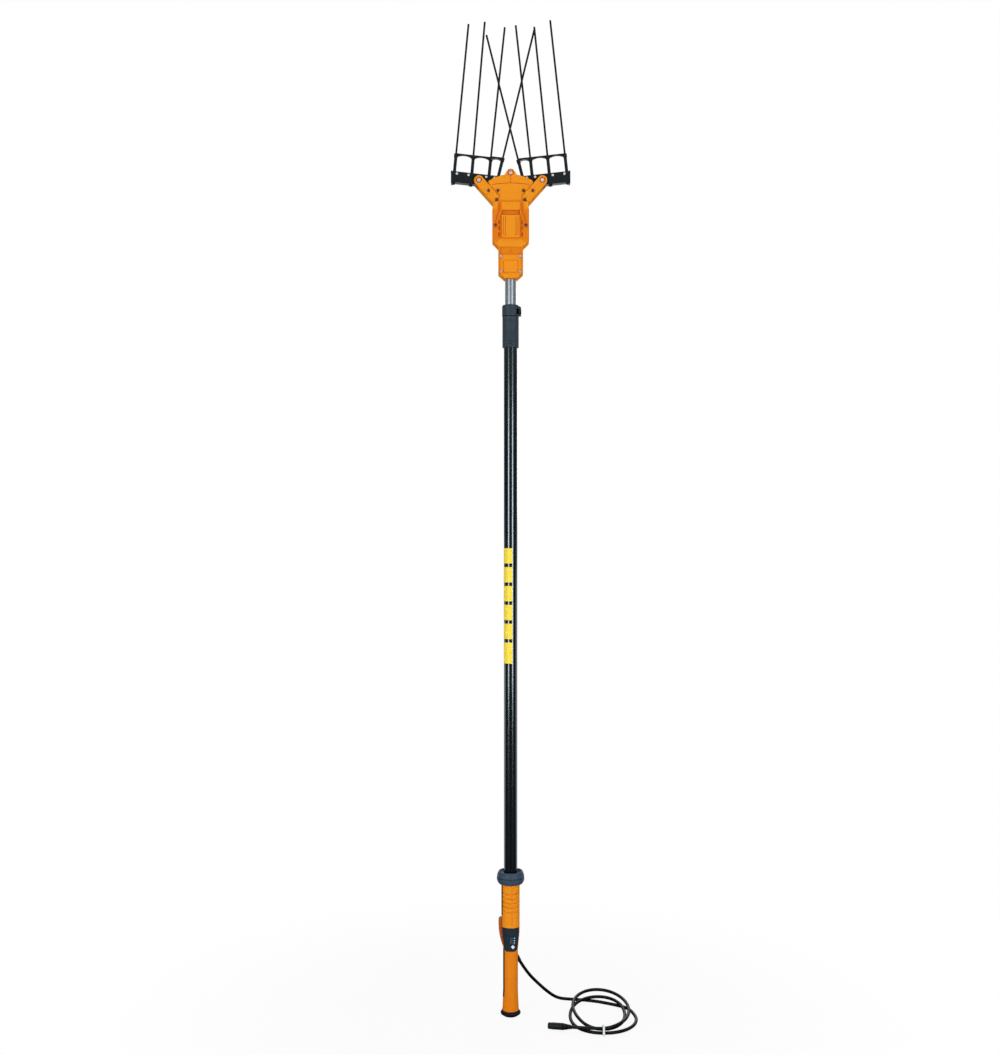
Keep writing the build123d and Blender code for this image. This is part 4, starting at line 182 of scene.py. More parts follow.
class Graph:
    """The node graph of one material or world."""

    FIRST_COLOUR: int = 6
    SECOND_COLOUR: int = 7
    BLENDED_COLOUR: int = 2
    NOISE_ROUGHNESS: float = 0.55
    EDGE_SAMPLES: int = 4
    CLOSENESS_SAMPLES: int = 8

    def __init__(self, tree: bpy.types.NodeTree) -> None:
        """Start from an empty tree."""
        self.tree = tree
        tree.nodes.clear()

    def _add(self, kind: str, settings: dict[str, Any], inputs: dict[Any, Any]) -> bpy.types.Node:
        """Add one node.

        Args:
            kind: The node's type name.
            settings: Properties, which are set first.
            inputs: Socket names or numbers with their values or signals.

        Returns:
            The new node.
        """
        made = self.tree.nodes.new(kind)
        for name, value in settings.items():
            setattr(made, name, value)
        for name, value in inputs.items():
            socket = made.inputs[name]
            if isinstance(value, Signal):
                self.tree.links.new(value.socket, socket)
            elif socket.type == "RGBA":
                socket.default_value = (*value, 1.0)
            else:
                socket.default_value = value
        return made

    def node(
        self, kind: str, settings: dict[str, Any], inputs: dict[Any, Any], output: Union[int, str] = 0
    ) -> Signal:
        """Add one node and take one of its outputs as a signal."""
        return Signal(self, self._add(kind, settings, inputs).outputs[output])

    def output(self, shader: Signal, kind: str = "ShaderNodeOutputMaterial") -> None:
        """Join a shader to the output."""
        self._add(kind, {}, {"Surface": shader})

    def place(self) -> Signal:
        """Object coordinates, in metres."""
        return self.node("ShaderNodeTexCoord", {}, {}, "Object")

    def axis(self, name: str) -> Signal:
        """One axis of the object coordinates, in metres."""
        return self.node("ShaderNodeSeparateXYZ", {}, {"Vector": self.place()}, name)

    def noise(self, scale: float, detail: float = 2.0, stretch: Point = (1.0, 1.0, 1.0)) -> Signal:
        """Noise around its mean.

        Args:
            scale: Cycles per metre.
            detail: How many finer layers it has.
            stretch: Factor along each axis.

        Returns:
            The noise as a signal from 0 to 1.
        """
        where = self.node("ShaderNodeMapping", {}, {"Vector": self.place(), "Scale": stretch})
        inputs = {"Vector": where, "Scale": scale, "Detail": detail, "Roughness": self.NOISE_ROUGHNESS}
        return self.node("ShaderNodeTexNoise", {"noise_dimensions": "3D"}, inputs, "Fac")

    def mix(self, share: Operand, first: Tone, second: Tone) -> Signal:
        """Blend two colours.

        Args:
            share: 0 for the first colour, 1 for the second.
            first: The first colour.
            second: The second colour.

        Returns:
            The blended colour.
        """
        settings = {"data_type": "RGBA", "clamp_factor": True}
        inputs = {"Factor": share, self.FIRST_COLOUR: first, self.SECOND_COLOUR: second}
        return self.node("ShaderNodeMix", settings, inputs, self.BLENDED_COLOUR)

    def bump(self, height: Signal, depth: float, normal: Signal) -> Signal:
        """Surface relief on a normal; depth is in metres."""
        inputs = {"Height": height, "Distance": depth, "Normal": normal}
        return self.node("ShaderNodeBump", {}, inputs, "Normal")

    def true_normal(self) -> Signal:
        """Normal of the mesh as it is."""
        return self.node("ShaderNodeNewGeometry", {}, {}, "Normal")

    def rounded(self, radius: float) -> Signal:
        """Normal that rounds off sharp edges.

        Args:
            radius: Radius in metres; 0 keeps the true normal.

        Returns:
            The normal.
        """
        if radius == 0.0:
            return self.true_normal()
        return self.node("ShaderNodeBevel", {"samples": self.EDGE_SAMPLES}, {"Radius": radius}, "Normal")

    def edge(self, rounded: Signal) -> Signal:
        """0 on flats, rising where a rounded normal leaves the true one."""
        inputs = {0: rounded, 1: self.true_normal()}
        return 1.0 - self.node("ShaderNodeVectorMath", {"operation": "DOT_PRODUCT"}, inputs, "Value")

    def closeness(self, reach: float) -> Signal:
        """0 in the open, 1 where shapes close in within a reach in metres."""
        settings = {"samples": self.CLOSENESS_SAMPLES, "only_local": False}
        return 1.0 - self.node("ShaderNodeAmbientOcclusion", settings, {"Distance": reach}, "AO")

    def smooth_step(self, value: Signal, start: float, end: float, low: float, high: float) -> Signal:
        """Smooth change of one value with another.

        Args:
            value: What decides.
            start: Where the change starts.
            end: Where it ends.
            low: The result up to the start.
            high: The result from the end on.

        Returns:
            The result as a signal.
        """
        spans = {"From Min": start, "From Max": end, "To Min": low, "To Max": high}
        settings = {"interpolation_type": "SMOOTHSTEP"}
        return self.node("ShaderNodeMapRange", settings, {"Value": value, **spans})

    def within(self, value: Signal, low: float, high: float, fade: float) -> Signal:
        """1 between two levels, fading to 0 outside them."""
        rise = self.smooth_step(value, low - fade, low, 0.0, 1.0)
        return rise * self.smooth_step(value, high, high + fade, 1.0, 0.0)


@dataclass(frozen=True)
class Finish:
    """A satin moulded surface, and the base of every other finish.

    The tone goes from colour to deep by a start, by clouds and by the grain. The roughness varies by patches
    and by the grain. Grain, clouds and patches are in cycles per metre, and lengths in metres.
    """

    name: str
    colour: Colour
    deep: Colour
    roughness: float = 0.42
    specular: float = 0.35
    metallic: float = 0.0
    coat: float = 0.0
    coat_roughness: float = 0.12
    grain: float = 900.0
    grain_depth: float = 0.00002
    grain_share: float = 0.12
    grain_gloss: float = 0.0
    start: float = -0.1
    cloud: float = 14.0
    cloud_detail: float = 3.0
    cloud_share: float = 0.5
    patch: float = 55.0
    patch_detail: float = 4.0
    patch_gloss: float = 0.16
    edge_radius: float = 0.0005
    # painted highlight: how much paler the base colour gets on edges
    edge_highlight: float = 0.5
    edge_highlight_lift: float = 0.22

    def material(self) -> bpy.types.Material:
        """Make the Blender material.

        Returns:
            The new material.
        """
        made = bpy.data.materials.new(self.name)
        made.use_nodes = True
        made.diffuse_color = (*self.colour, 1.0)
        graph = Graph(made.node_tree)
        graph.output(self.shader(graph))
        return made

    @property
    def highlight_tone(self) -> Colour:
        """Paler tone painted on edges as a highlight."""
        red, green, blue = (level + (1.0 - level) * self.edge_highlight_lift for level in self.colour)
        return (red, green, blue)

    def relief(self, graph: Graph) -> Signal:
        """Height of the surface's own texture."""
        return graph.noise(self.grain)

    def depth(self, graph: Graph, relief: Signal) -> Signal:
        """How much of the deeper tone shows.

        Args:
            graph: The graph of the material.
            relief: Height of the surface's own texture.

        Returns:
            The share of the deeper tone.
        """
        depth = graph.noise(self.cloud, self.cloud_detail) * self.cloud_share
        if self.start:
            depth = depth + self.start
        if self.grain_share:
            depth = depth + relief * self.grain_share
        return depth

    def gloss(self, graph: Graph, relief: Signal) -> Operand:
        """Roughness over the surface, with smoother patches where it is handled.

        Args:
            graph: The graph of the material.
            relief: Height of the surface's own texture.

        Returns:
            The roughness.
        """
        gloss: Operand = self.roughness
        if self.patch_gloss:
            gloss = gloss + (graph.noise(self.patch, self.patch_detail) - NOISE_MEAN) * self.patch_gloss
        if self.grain_gloss:
            gloss = gloss + (relief - NOISE_MEAN) * self.grain_gloss
        return gloss

    def extra(self, graph: Graph) -> dict[str, Any]:
        """Sockets that only some finishes set."""
        return {}

    def shader(self, graph: Graph) -> Signal:
        """Principled shader of this finish.

        Args:
            graph: The graph of the material.

        Returns:
            The shader as a signal.
        """
        relief = self.relief(graph)
        rounded = graph.rounded(self.edge_radius)
        tone = graph.mix(self.depth(graph, relief), self.colour, self.deep)
        sockets = {
            # painted highlight: paler base colour on edges, where the rounded normal leaves the true one
            "Base Color": graph.mix(graph.edge(rounded) * self.edge_highlight, tone, self.highlight_tone),
            "Metallic": self.metallic,
            "Roughness": self.gloss(graph, relief),
            "Normal": graph.bump(relief, self.grain_depth, rounded),
            "Specular IOR Level": self.specular,
            "Coat Weight": self.coat,
            "Coat Roughness": self.coat_roughness,
            **self.extra(graph),
        }
        return graph.node("ShaderNodeBsdfPrincipled", {}, sockets)


@dataclass(frozen=True)
class RecessedPlastic(Finish):
    """Moulded plastic with painted shade: a deeper tone in corners, grooves and recesses, where shade falls.
    """

    grain: float = 1100.0
    grain_share: float = 0.1
    start: float = -0.305
    cloud_share: float = 0.3
    reach: float = 0.009
    # painted shade: how much deeper tone is added where shapes close in
    recess_shade: float = 1.8

    def depth(self, graph: Graph, relief: Signal) -> Signal:
        """Painted shade: a deeper tone where the shape closes in, on top of the clouds and the grain."""
        return super().depth(graph, relief) + graph.closeness(self.reach) * self.recess_shade


@dataclass(frozen=True)
class HeadPlastic(RecessedPlastic):
    """Head moulding with painted shade: its front has a deeper tone on cheeks, flanks, upper neck and neck
    sides, which turn away from the light. Metres.
    """

    cheeks: Span = (0.0315, 0.06)
    cheek_heights: Span = (1.642, 1.722)
    neck_heights: Span = (1.61, 1.627)
    strips: Span = (0.0255, 0.06)
    strip_heights: Span = (1.556, 1.606)
    flank_inside: Span = (0.023, 0.026)
    flank_outside: Span = (0.031, 0.033)
    flank_heights: Span = (1.648, 1.737)
    flank_slope: float = 0.2
    front: Span = (-0.016, -0.006)
    fade: float = 0.003
    # how much painted shade the cheeks, neck sides and upper neck get
    share: float = 0.45
    flank_shade: float = 0.55

    def depth(self, graph: Graph, relief: Signal) -> Signal:
        """Painted shade on the parts that turn away from the light, on top of the painted shade in corners
        and grooves.

        Args:
            graph: The graph of the material.
            relief: Height of the surface's own texture.

        Returns:
            The share of the deeper tone.
        """
        side = graph.axis("X").size()
        height = graph.axis("Z")
        cheek = graph.within(side, *self.cheeks, self.fade)
        cheek = cheek * graph.within(height, *self.cheek_heights, self.fade)
        strip = graph.within(side, *self.strips, self.fade)
        strip = strip * graph.within(height, *self.strip_heights, self.fade)
        neck = graph.within(height, *self.neck_heights, self.fade)
        slanted = side + (height - self.flank_heights[1]) * self.flank_slope
        flank = graph.smooth_step(side, *self.flank_inside, 0.0, 1.0)
        flank = flank * graph.smooth_step(slanted, *self.flank_outside, 1.0, 0.0)
        flank = flank * graph.within(height, *self.flank_heights, self.fade)
        # painted shade on the cheeks, neck sides, upper neck and flanks, kept to the front by the facing
        # mask
        shade_zones = (cheek.most(strip).most(neck) * self.share).most(flank * self.flank_shade)
        facing = graph.smooth_step(graph.axis("Y"), *self.front, 1.0, 0.0)
        return super().depth(graph, relief) + shade_zones * facing


@dataclass(frozen=True)
class HandlePlastic(RecessedPlastic):
    """Handle moulding whose lower grip holds a deeper tone. Heights in metres."""

    # painted shade: how much deeper tone is added in corners and grooves
    recess_shade: float = 1.1
    panel_heights: Span = (-0.126, -0.07)
    share: float = 0.5

    def depth(self, graph: Graph, relief: Signal) -> Signal:
        """Deeper tone below the panel, on top of the painted shade in corners and grooves."""
        lower = graph.smooth_step(graph.axis("Z"), *self.panel_heights, self.share, 0.0)
        return super().depth(graph, relief) + lower


@dataclass(frozen=True)
class DrawnMetal(Finish):
    """Tube with fine lines along its length, a few dull patches and a tint in its shine."""

    specular: float = 0.5
    grain: float = 500.0
    grain_depth: float = 0.000001
    grain_share: float = 0.6
    grain_gloss: float = 0.06
    start: float = 0.0
    cloud: float = 9.0
    cloud_share: float = 0.4
    patch: float = 7.0
    patch_detail: float = 3.0
    patch_gloss: float = 0.06
    edge_radius: float = 0.0
    draw: Point = (1.0, 1.0, 0.012)
    tint: Colour = (1.0, 1.0, 1.0)

    def relief(self, graph: Graph) -> Signal:
        """Long thin draw lines."""
        return graph.noise(self.grain, stretch=self.draw)

    def extra(self, graph: Graph) -> dict[str, Any]:
        """Tint of the shine."""
        return {"Specular Tint": self.tint}


@dataclass(frozen=True)
class TurnedMetal(Finish):
    """Machined or cast metal with tool marks and small clouds of tarnish."""

    specular: float = 0.5
    metallic: float = 1.0
    grain: float = 1800.0
    grain_share: float = 0.0
    grain_gloss: float = 0.2
    start: float = 0.0
    cloud: float = 120.0
    cloud_share: float = 0.7
    patch_gloss: float = 0.0
    # painted highlight on edges
    edge_highlight: float = 0.2


@dataclass(frozen=True)
class CasingSteel(TurnedMetal):
    """Screw steel, pale on the neck as a painted highlight and darker on the body above it. Heights in
    metres.
    """

    cloud_share: float = 0.3
    neck_end: Span = (1.63, 1.64)
    # darker tone above the neck; the pale neck screws below carry a painted highlight
    dark_above_neck: float = 0.8
    neck_metal: float = 0.45

    def depth(self, graph: Graph, relief: Signal) -> Signal:
        """Darker above the neck, so that the neck keeps its painted highlight, on top of the tarnish."""
        dark_above_neck = graph.smooth_step(graph.axis("Z"), *self.neck_end, 0.0, self.dark_above_neck)
        return super().depth(graph, relief) + dark_above_neck

    def extra(self, graph: Graph) -> dict[str, Any]:
        """Less of a mirror on the neck, where the screws are painted pale as a highlight."""
        metal = graph.smooth_step(graph.axis("Z"), *self.neck_end, self.neck_metal, self.metallic)
        return {"Metallic": metal}


@dataclass(frozen=True)
class WoundRod(Finish):
    """Glossy rod with a wound wrap that shows as slanting bands, every other one a little paler."""

    grain_depth: float = 0.00001
    grain_share: float = 0.5
    start: float = 0.0
    cloud: float = 1500.0
    cloud_detail: float = 2.0
    cloud_share: float = 0.3
    edge_radius: float = 0.0
    pitch: float = 0.009
    slant: float = 0.6

    def relief(self, graph: Graph) -> Signal:
        """Bands up the rod's length."""
        band = (graph.axis("Z") + graph.axis("X") * self.slant).repeat(self.pitch)
        return band.above(self.pitch / 2.0)


@dataclass(frozen=True)
class LeadSheath(Finish):
    """Rubber sheath with faint scuffs and soft clouds of dust."""

    grain: float = 1500.0
    grain_depth: float = 0.00001
    grain_share: float = 0.0
    start: float = 0.0
    cloud: float = 60.0
    cloud_detail: float = 4.0
    cloud_share: float = 0.8
    edge_radius: float = 0.0


@dataclass(frozen=True)
class PrintedFilm(Finish):
    """Thin print that lies on another surface."""

    grain: float = 1500.0
    grain_depth: float = 0.000005
    edge_radius: float = 0.0


@dataclass(frozen=True)
class Lens(Finish):
    """Clear coloured lens with a soft inner glow."""

    glow: float = 0.5
    glow_cloud: float = 400.0

    def extra(self, graph: Graph) -> dict[str, Any]:
        """Glow in two tones."""
        glow = graph.mix(graph.noise(self.glow_cloud), self.colour, self.deep)
        return {"Emission Color": glow, "Emission Strength": self.glow}


ORANGE = HeadPlastic("orange_moulding", srgb(228, 141, 34), srgb(196, 74, 10), 0.52, 0.0)
HANDLE_ORANGE = HandlePlastic("handle_moulding", srgb(228, 139, 33), srgb(204, 92, 12), 0.52, 0.0)
DEEP_ORANGE = RecessedPlastic("louvre_moulding", srgb(206, 76, 8), srgb(170, 50, 4), 0.5, 0.2)
# painted shade: the trigger's orange is a darker copy of the handle's, as the trigger faces away from the
# light
SHADED_TRIGGER_ORANGE = RecessedPlastic("shaded_trigger_moulding", srgb(168, 90, 30), srgb(120, 52, 12), 0.46, 0.05)
SLATE = RecessedPlastic("slate_moulding", srgb(48, 60, 70), srgb(20, 26, 32), 0.5, 0.2)
GUARD_SLATE = RecessedPlastic("guard_moulding", srgb(52, 69, 86), srgb(23, 32, 42), 0.5, 0.2)
BUTT = RecessedPlastic("butt_moulding", srgb(15, 18, 28), srgb(8, 10, 15), 0.5, 0.12)
BLACK = RecessedPlastic("black_moulding", srgb(22, 29, 33), srgb(8, 10, 12), 0.46, 0.16)
RUBBER = RecessedPlastic("grip_rubber", srgb(9, 8, 8), srgb(5, 5, 5), 0.7, 0.0)
PANEL = Finish(
    "panel_moulding", srgb(35, 47, 58), srgb(26, 35, 44), 0.34, 0.2, grain=1400.0, grain_depth=0.00001
)
WHITE = Finish("button_moulding", srgb(232, 238, 246), srgb(206, 216, 230), 0.34, 0.3, grain_depth=0.00001)
LENS = Lens("status_lens", srgb(176, 214, 236), srgb(120, 170, 205), 0.2)
BOARD = Finish("board_lacquer", srgb(24, 96, 58), srgb(14, 62, 40), 0.35, 0.4, coat=0.3, grain=700.0)
TUBE_BLACK = DrawnMetal(
    "tube_black_lacquer", srgb(3, 6, 9), srgb(7, 10, 13), 0.19, 0.95, coat=0.4, tint=(0.7, 0.9, 1.0)
)
TUBE_SILVER = DrawnMetal("tube_silver", srgb(200, 205, 212), srgb(180, 186, 194), 0.32, metallic=1.0)
STEEL = TurnedMetal("bright_steel", srgb(226, 227, 228), srgb(196, 198, 202), 0.34)
# bolts with a stronger painted highlight on their edges
ZINC = TurnedMetal(
    "bright_zinc", srgb(236, 238, 240), srgb(206, 210, 214), 0.42, metallic=0.45, edge_highlight=0.5
)
# the pale colour is a painted highlight on the neck screws; the deep colour shows on the screws above the
# neck
CASING_STEEL = CasingSteel("casing_steel", srgb(216, 213, 208), srgb(104, 98, 88), 0.4)
DARK_STEEL = TurnedMetal("blued_steel", srgb(132, 124, 112), srgb(66, 62, 58), 0.4)
ALLOY = TurnedMetal("cast_alloy", srgb(178, 182, 186), srgb(140, 145, 150), 0.5, grain=700.0)
MOTOR = TurnedMetal("motor_can", srgb(120, 124, 130), srgb(88, 92, 98), 0.35, grain=1500.0)
BRONZE = TurnedMetal("bearing_bronze", srgb(196, 150, 84), srgb(158, 112, 56), 0.34, grain=1500.0)
ROD = WoundRod("wound_rod", srgb(10, 11, 13), srgb(27, 29, 33), 0.36, 0.25)
SHEATH = LeadSheath("lead_sheath", srgb(5, 8, 9), srgb(13, 17, 18), 0.42, 0.14)
TIE = Finish("tie_moulding", srgb(226, 230, 232), srgb(198, 204, 208), 0.45, 0.3)
YELLOW = PrintedFilm("yellow_print", srgb(244, 219, 68), srgb(232, 200, 48), 0.4, 0.3)
PALE_PRINT = PrintedFilm("panel_print", srgb(158, 174, 188), srgb(124, 142, 158), 0.45, 0.2)

NODE_FINISHES: dict[Finish, tuple[str, ...]] = {
    ORANGE: ("head_front_cover", "head_rear_cover", "motor_cover", "neck_cover"),
    HANDLE_ORANGE: ("handle_front_shell", "handle_rear_shell"),
    SHADED_TRIGGER_ORANGE: ("trigger",),
    SLATE: ("clamp_sleeve", "clamp_collar"),
    GUARD_SLATE: ("hand_guard",),
    BUTT: ("butt_cap",),
    RUBBER: ("grip_inlay",),
    BLACK: (
        "trigger_switch",
        "guide_bush",
        "slider_bush",
        "cable_grommet",
        "clamp_lever",
        "yoke_guides",
        "left_rake_bar",
        "right_rake_bar",
        "left_tine_guard",
        "right_tine_guard",
    ),
    PANEL: ("control_panel",),
    WHITE: ("power_button",),
    LENS: ("status_lights",),
    BOARD: ("circuit_board",),
    TUBE_BLACK: ("outer_tube",),
    TUBE_SILVER: ("inner_tube",),
    STEEL: (
        "handle_screws",
        "trigger_pin",
        "casing_nuts",
        "crest_spacer",
        "motor_pinion",
        "bevel_gear",
        "crank",
        "yoke",
        "left_drive_pin",
        "right_drive_pin",
    ),
    ZINC: ("pivot_bolts", "crest_bolt", "left_bar_screws", "right_bar_screws"),
    CASING_STEEL: ("casing_screws",),
    DARK_STEEL: ("clamp_lever_pin",),
    ALLOY: ("gearbox_frame",),
    MOTOR: ("motor", "gear_head"),
    BRONZE: ("crank_bearing", "left_rake_bush", "right_rake_bush", "plug_contacts"),
    ROD: ("left_tines", "right_tines"),
    SHEATH: ("pole_cable",),
    TIE: ("cord_tie",),
}


class Body(Enum):
    """Bodies of the frame that new pieces ride on."""

    POLE = "pole"
    HEAD = "head"


class Slot(Enum):
    """Material slots of the frame that new pieces share."""

    BLACK_PLASTIC = "black_plastic"
    DARK_PLASTIC = "dark_plastic"
    LEAD_RUBBER = "lead_rubber"
    ORANGE_PLASTIC = "orange_plastic"
    PANEL_PLASTIC = "panel_plastic"
    TUBE_BLACK = "tube_black"


@dataclass(frozen=True)
class Patch:
    """A small rectangle of film seen from the front; millimetres, and degrees of tilt."""

    x: float
    z: float
    width: float
    height: float
    tilt: float = 0.0


class Workshop:
    """Keeps the frame and the made materials, and shapes new pieces by hand tools."""

    SHEET_CUTS: int = 10
    SHEET_LEAD: float = 0.01
    TURNED_SIDES: int = 48

    def __init__(self) -> None:
        """Load the frame and start with an empty shelf of materials."""
        self.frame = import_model()
        self.cad_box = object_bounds()
        self.shelf: dict[Finish, bpy.types.Material] = {}
        bpy.ops.object.select_all(action="DESELECT")

    def material(self, finish: Finish) -> bpy.types.Material:
        """The material of a finish, made once.

        Args:
            finish: The finish.

        Returns:
            Its material.
        """
        if finish not in self.shelf:
            self.shelf[finish] = finish.material()
        return self.shelf[finish]

    def dress_nodes(self) -> None:
        """Give every CAD node its finish."""
        for finish, names in NODE_FINISHES.items():
            for name in names:
                for slot in self.frame["nodes"][name].material_slots:
                    slot.material = self.material(finish)
                LOG.info("dressed %s in %s", name, finish.name)

    def dress(self, piece: bpy.types.Object, finish: Finish, body: Body) -> bpy.types.Object:
        """Finish a new piece and make it ride.

        Args:
            piece: The piece.
            finish: Its finish.
            body: The body that it rides on.

        Returns:
            The same piece.
        """
        piece.data.materials.clear()
        piece.data.materials.append(self.material(finish))
        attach(piece, body.value)
        LOG.info("made %s on %s", piece.name, body.value)
        return piece

    @staticmethod
    def select(piece: bpy.types.Object, test: Callable[[Vector], bool]) -> None:
        """In edit mode, select only the faces whose middles pass a test.

        Args:
            piece: The piece in edit mode.
            test: Whether a face with its middle at a place is wanted.
        """
        bpy.ops.mesh.select_all(action="DESELECT")
        mesh = bmesh.from_edit_mesh(piece.data)
        for face in mesh.faces:
            face.select_set(test(face.calc_center_median()))
        bmesh.update_edit_mesh(piece.data)

    @staticmethod
    def apply(piece: bpy.types.Object, kind: str, **settings: Any) -> None:
        """Add a modifier to a piece and apply it.

        Args:
            piece: The piece.
            kind: The modifier's type name.
            **settings: The modifier's properties.
        """
        bpy.context.view_layer.objects.active = piece
        modifier = piece.modifiers.new(kind.lower(), kind)
        for name, value in settings.items():
            setattr(modifier, name, value)
        bpy.ops.object.modifier_apply(modifier=modifier.name)

    @staticmethod
    def join(pieces: Sequence[bpy.types.Object], name: str) -> bpy.types.Object:
        """Join pieces into one.

        Args:
            pieces: The pieces; the first one stays.
            name: The name of the joined piece.

        Returns:
            The joined piece.
        """
        bpy.ops.object.select_all(action="DESELECT")
        for piece in pieces:
            piece.select_set(True)
        bpy.context.view_layer.objects.active = pieces[0]
        bpy.ops.object.join()
        pieces[0].name = name
        return pieces[0]

    @staticmethod
    def copy(piece: bpy.types.Object, shift: Point) -> bpy.types.Object:
        """Copy a piece, with a mesh of its own, and move the copy.

        Args:
            piece: The piece, with its place in its mesh.
            shift: How far the copy moves, in millimetres.

        Returns:
            The copy, with its place in its mesh.
        """
        bpy.ops.object.select_all(action="DESELECT")
        piece.select_set(True)
        bpy.context.view_layer.objects.active = piece
        bpy.ops.object.duplicate(linked=False)
        twin = bpy.context.active_object
        twin.location = Vector(shift) * MM
        bpy.ops.object.transform_apply(location=True, rotation=True, scale=True)
        return twin

    def sheet(self, patch: Patch, front: float) -> bpy.types.Object:
        """Hang one flat patch in front of the object, cut finely enough to follow a curve.

        Args:
            patch: The patch, in millimetres.
            front: Where it hangs along y, in metres.

        Returns:
            The new object, with its place in its mesh.
        """
        bpy.ops.object.select_all(action="DESELECT")
        turn = (math.pi / 2.0, math.radians(patch.tilt), 0.0)
        place = (patch.x * MM, front, patch.z * MM)
        bpy.ops.mesh.primitive_plane_add(size=1.0, location=place, rotation=turn)
        sheet = bpy.context.active_object
        sheet.scale = (patch.width * MM, patch.height * MM, 1.0)
        bpy.ops.object.transform_apply(location=True, rotation=True, scale=True)
        bpy.ops.object.mode_set(mode="EDIT")
        bpy.ops.mesh.select_all(action="SELECT")
        bpy.ops.mesh.subdivide(number_cuts=self.SHEET_CUTS)
        bpy.ops.object.mode_set(mode="OBJECT")
        return sheet

    def film(self, name: str, patches: Sequence[Patch], target: str, thickness: float) -> bpy.types.Object:
        """Lay flat patches on the front of a node.

        Args:
            name: The piece's name.
            patches: The patches, in millimetres.
            target: The node that they lie on.
            thickness: How far they stand proud, in millimetres.

        Returns:
            The new object, with its place in its mesh.
        """
        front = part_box(target)[0][1] - self.SHEET_LEAD
        piece = self.join([self.sheet(patch, front) for patch in patches], name)
        node = self.frame["nodes"][target]
        self.apply(piece, "SHRINKWRAP", target=node, wrap_method="PROJECT", use_project_y=True)
        self.apply(piece, "SOLIDIFY", thickness=thickness * MM, offset=1.0)
        return piece

    def turned(self, name: str, profile: Profile, base: Vector, axis: Vector) -> bpy.types.Object:
        """Turn a closed piece: a disc extruded ring by ring.

        Args:
            name: The piece's name.
            profile: (radius, distance along the axis) of each ring, in millimetres, from end to end.
            base: Where distance 0 lies, in millimetres.
            axis: Direction of the axis.

        Returns:
            The new object, with its place in its mesh.
        """
        rings = [(radius * MM, height * MM) for radius, height in profile]
        bpy.ops.object.select_all(action="DESELECT")
        first_radius, first_height = rings[0]
        start = (0.0, 0.0, first_height)
        bpy.ops.mesh.primitive_circle_add(
            vertices=self.TURNED_SIDES, radius=first_radius, fill_type="NGON", location=start
        )
        piece = bpy.context.active_object
        piece.name = name
        bpy.ops.object.transform_apply(location=True, rotation=True, scale=True)
        bpy.ops.object.mode_set(mode="EDIT")
        bpy.ops.mesh.select_all(action="SELECT")
        for (radius, height), (next_radius, next_height) in zip(rings, rings[1:]):
            climb = (0.0, 0.0, next_height - height)
            bpy.ops.mesh.extrude_region_move(TRANSFORM_OT_translate={"value": climb})
            share = next_radius / radius
            bpy.ops.transform.resize(value=(share, share, 1.0), center_override=(0.0, 0.0, next_height))
        bpy.ops.mesh.select_all(action="SELECT")
        bpy.ops.mesh.normals_make_consistent(inside=False)
        bpy.ops.object.mode_set(mode="OBJECT")
        piece.rotation_euler = axis.to_track_quat("Z", "Y").to_euler()
        piece.location = base * MM
        bpy.ops.object.transform_apply(location=True, rotation=True, scale=True)
        bpy.ops.object.shade_smooth_by_angle(angle=SMOOTH_ANGLE)
        return piece


@dataclass
class Gland:
    """Ribbed strain relief that narrows from the handle to the lead. Millimetres, and shares of a length."""

    start: Point = (11.6, 9.8, -136.0)
    direction: Point = (0.449, 0.359, -0.818)
    length: float = 25.0
    root: float = 12.0
    tip: float = 9.6
    sunk: float = 4.0
    foot: float = 0.5
    foot_share: float = 0.94
    collar_share: float = 0.24
    ribs: int = 5
    rib_depth: float = 0.7
    rib_steps: tuple[float, ...] = (0.1, 0.4, 0.5, 0.95)
    lip: float = 0.6

    @property
    def axis(self) -> Vector:
        """Direction in which the lead leaves the handle."""
        return Vector(self.direction).normalized()

    @property
    def end(self) -> Vector:
        """Tip of the gland."""
        return Vector(self.start) + self.axis * self.length

    def profile(self, lead: float) -> Profile:
        """Rings of the gland.

        Args:
            lead: Diameter of the lead.

        Returns:
            Radius and place of each ring.
        """
        root = self.root / 2.0
        collar = self.length * self.collar_share
        pitch = (self.length - collar) / self.ribs
        profile = [(root * self.foot_share, -self.sunk), (root, self.foot - self.sunk), (root, collar)]
        for rib in range(self.ribs):
            share = (rib + 0.5) / self.ribs
            outside = root + (self.tip / 2.0 - root) * share
            waist = outside - self.rib_depth
            places = [collar + (rib + step) * pitch for step in self.rib_steps]
            profile += zip((waist, waist, outside, outside), places)
        profile.append((lead / 2.0 + self.lip, self.length))
        return profile

    def build(self, shop: Workshop, lead: float) -> bpy.types.Object:
        """Turn the gland.

        Args:
            shop: The workshop.
            lead: Diameter of the lead.

        Returns:
            The gland.
        """
        gland = shop.turned("ribbed_gland", self.profile(lead), Vector(self.start), self.axis)
        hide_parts("cord_gland")
        return shop.dress(gland, BLACK, Body.POLE)


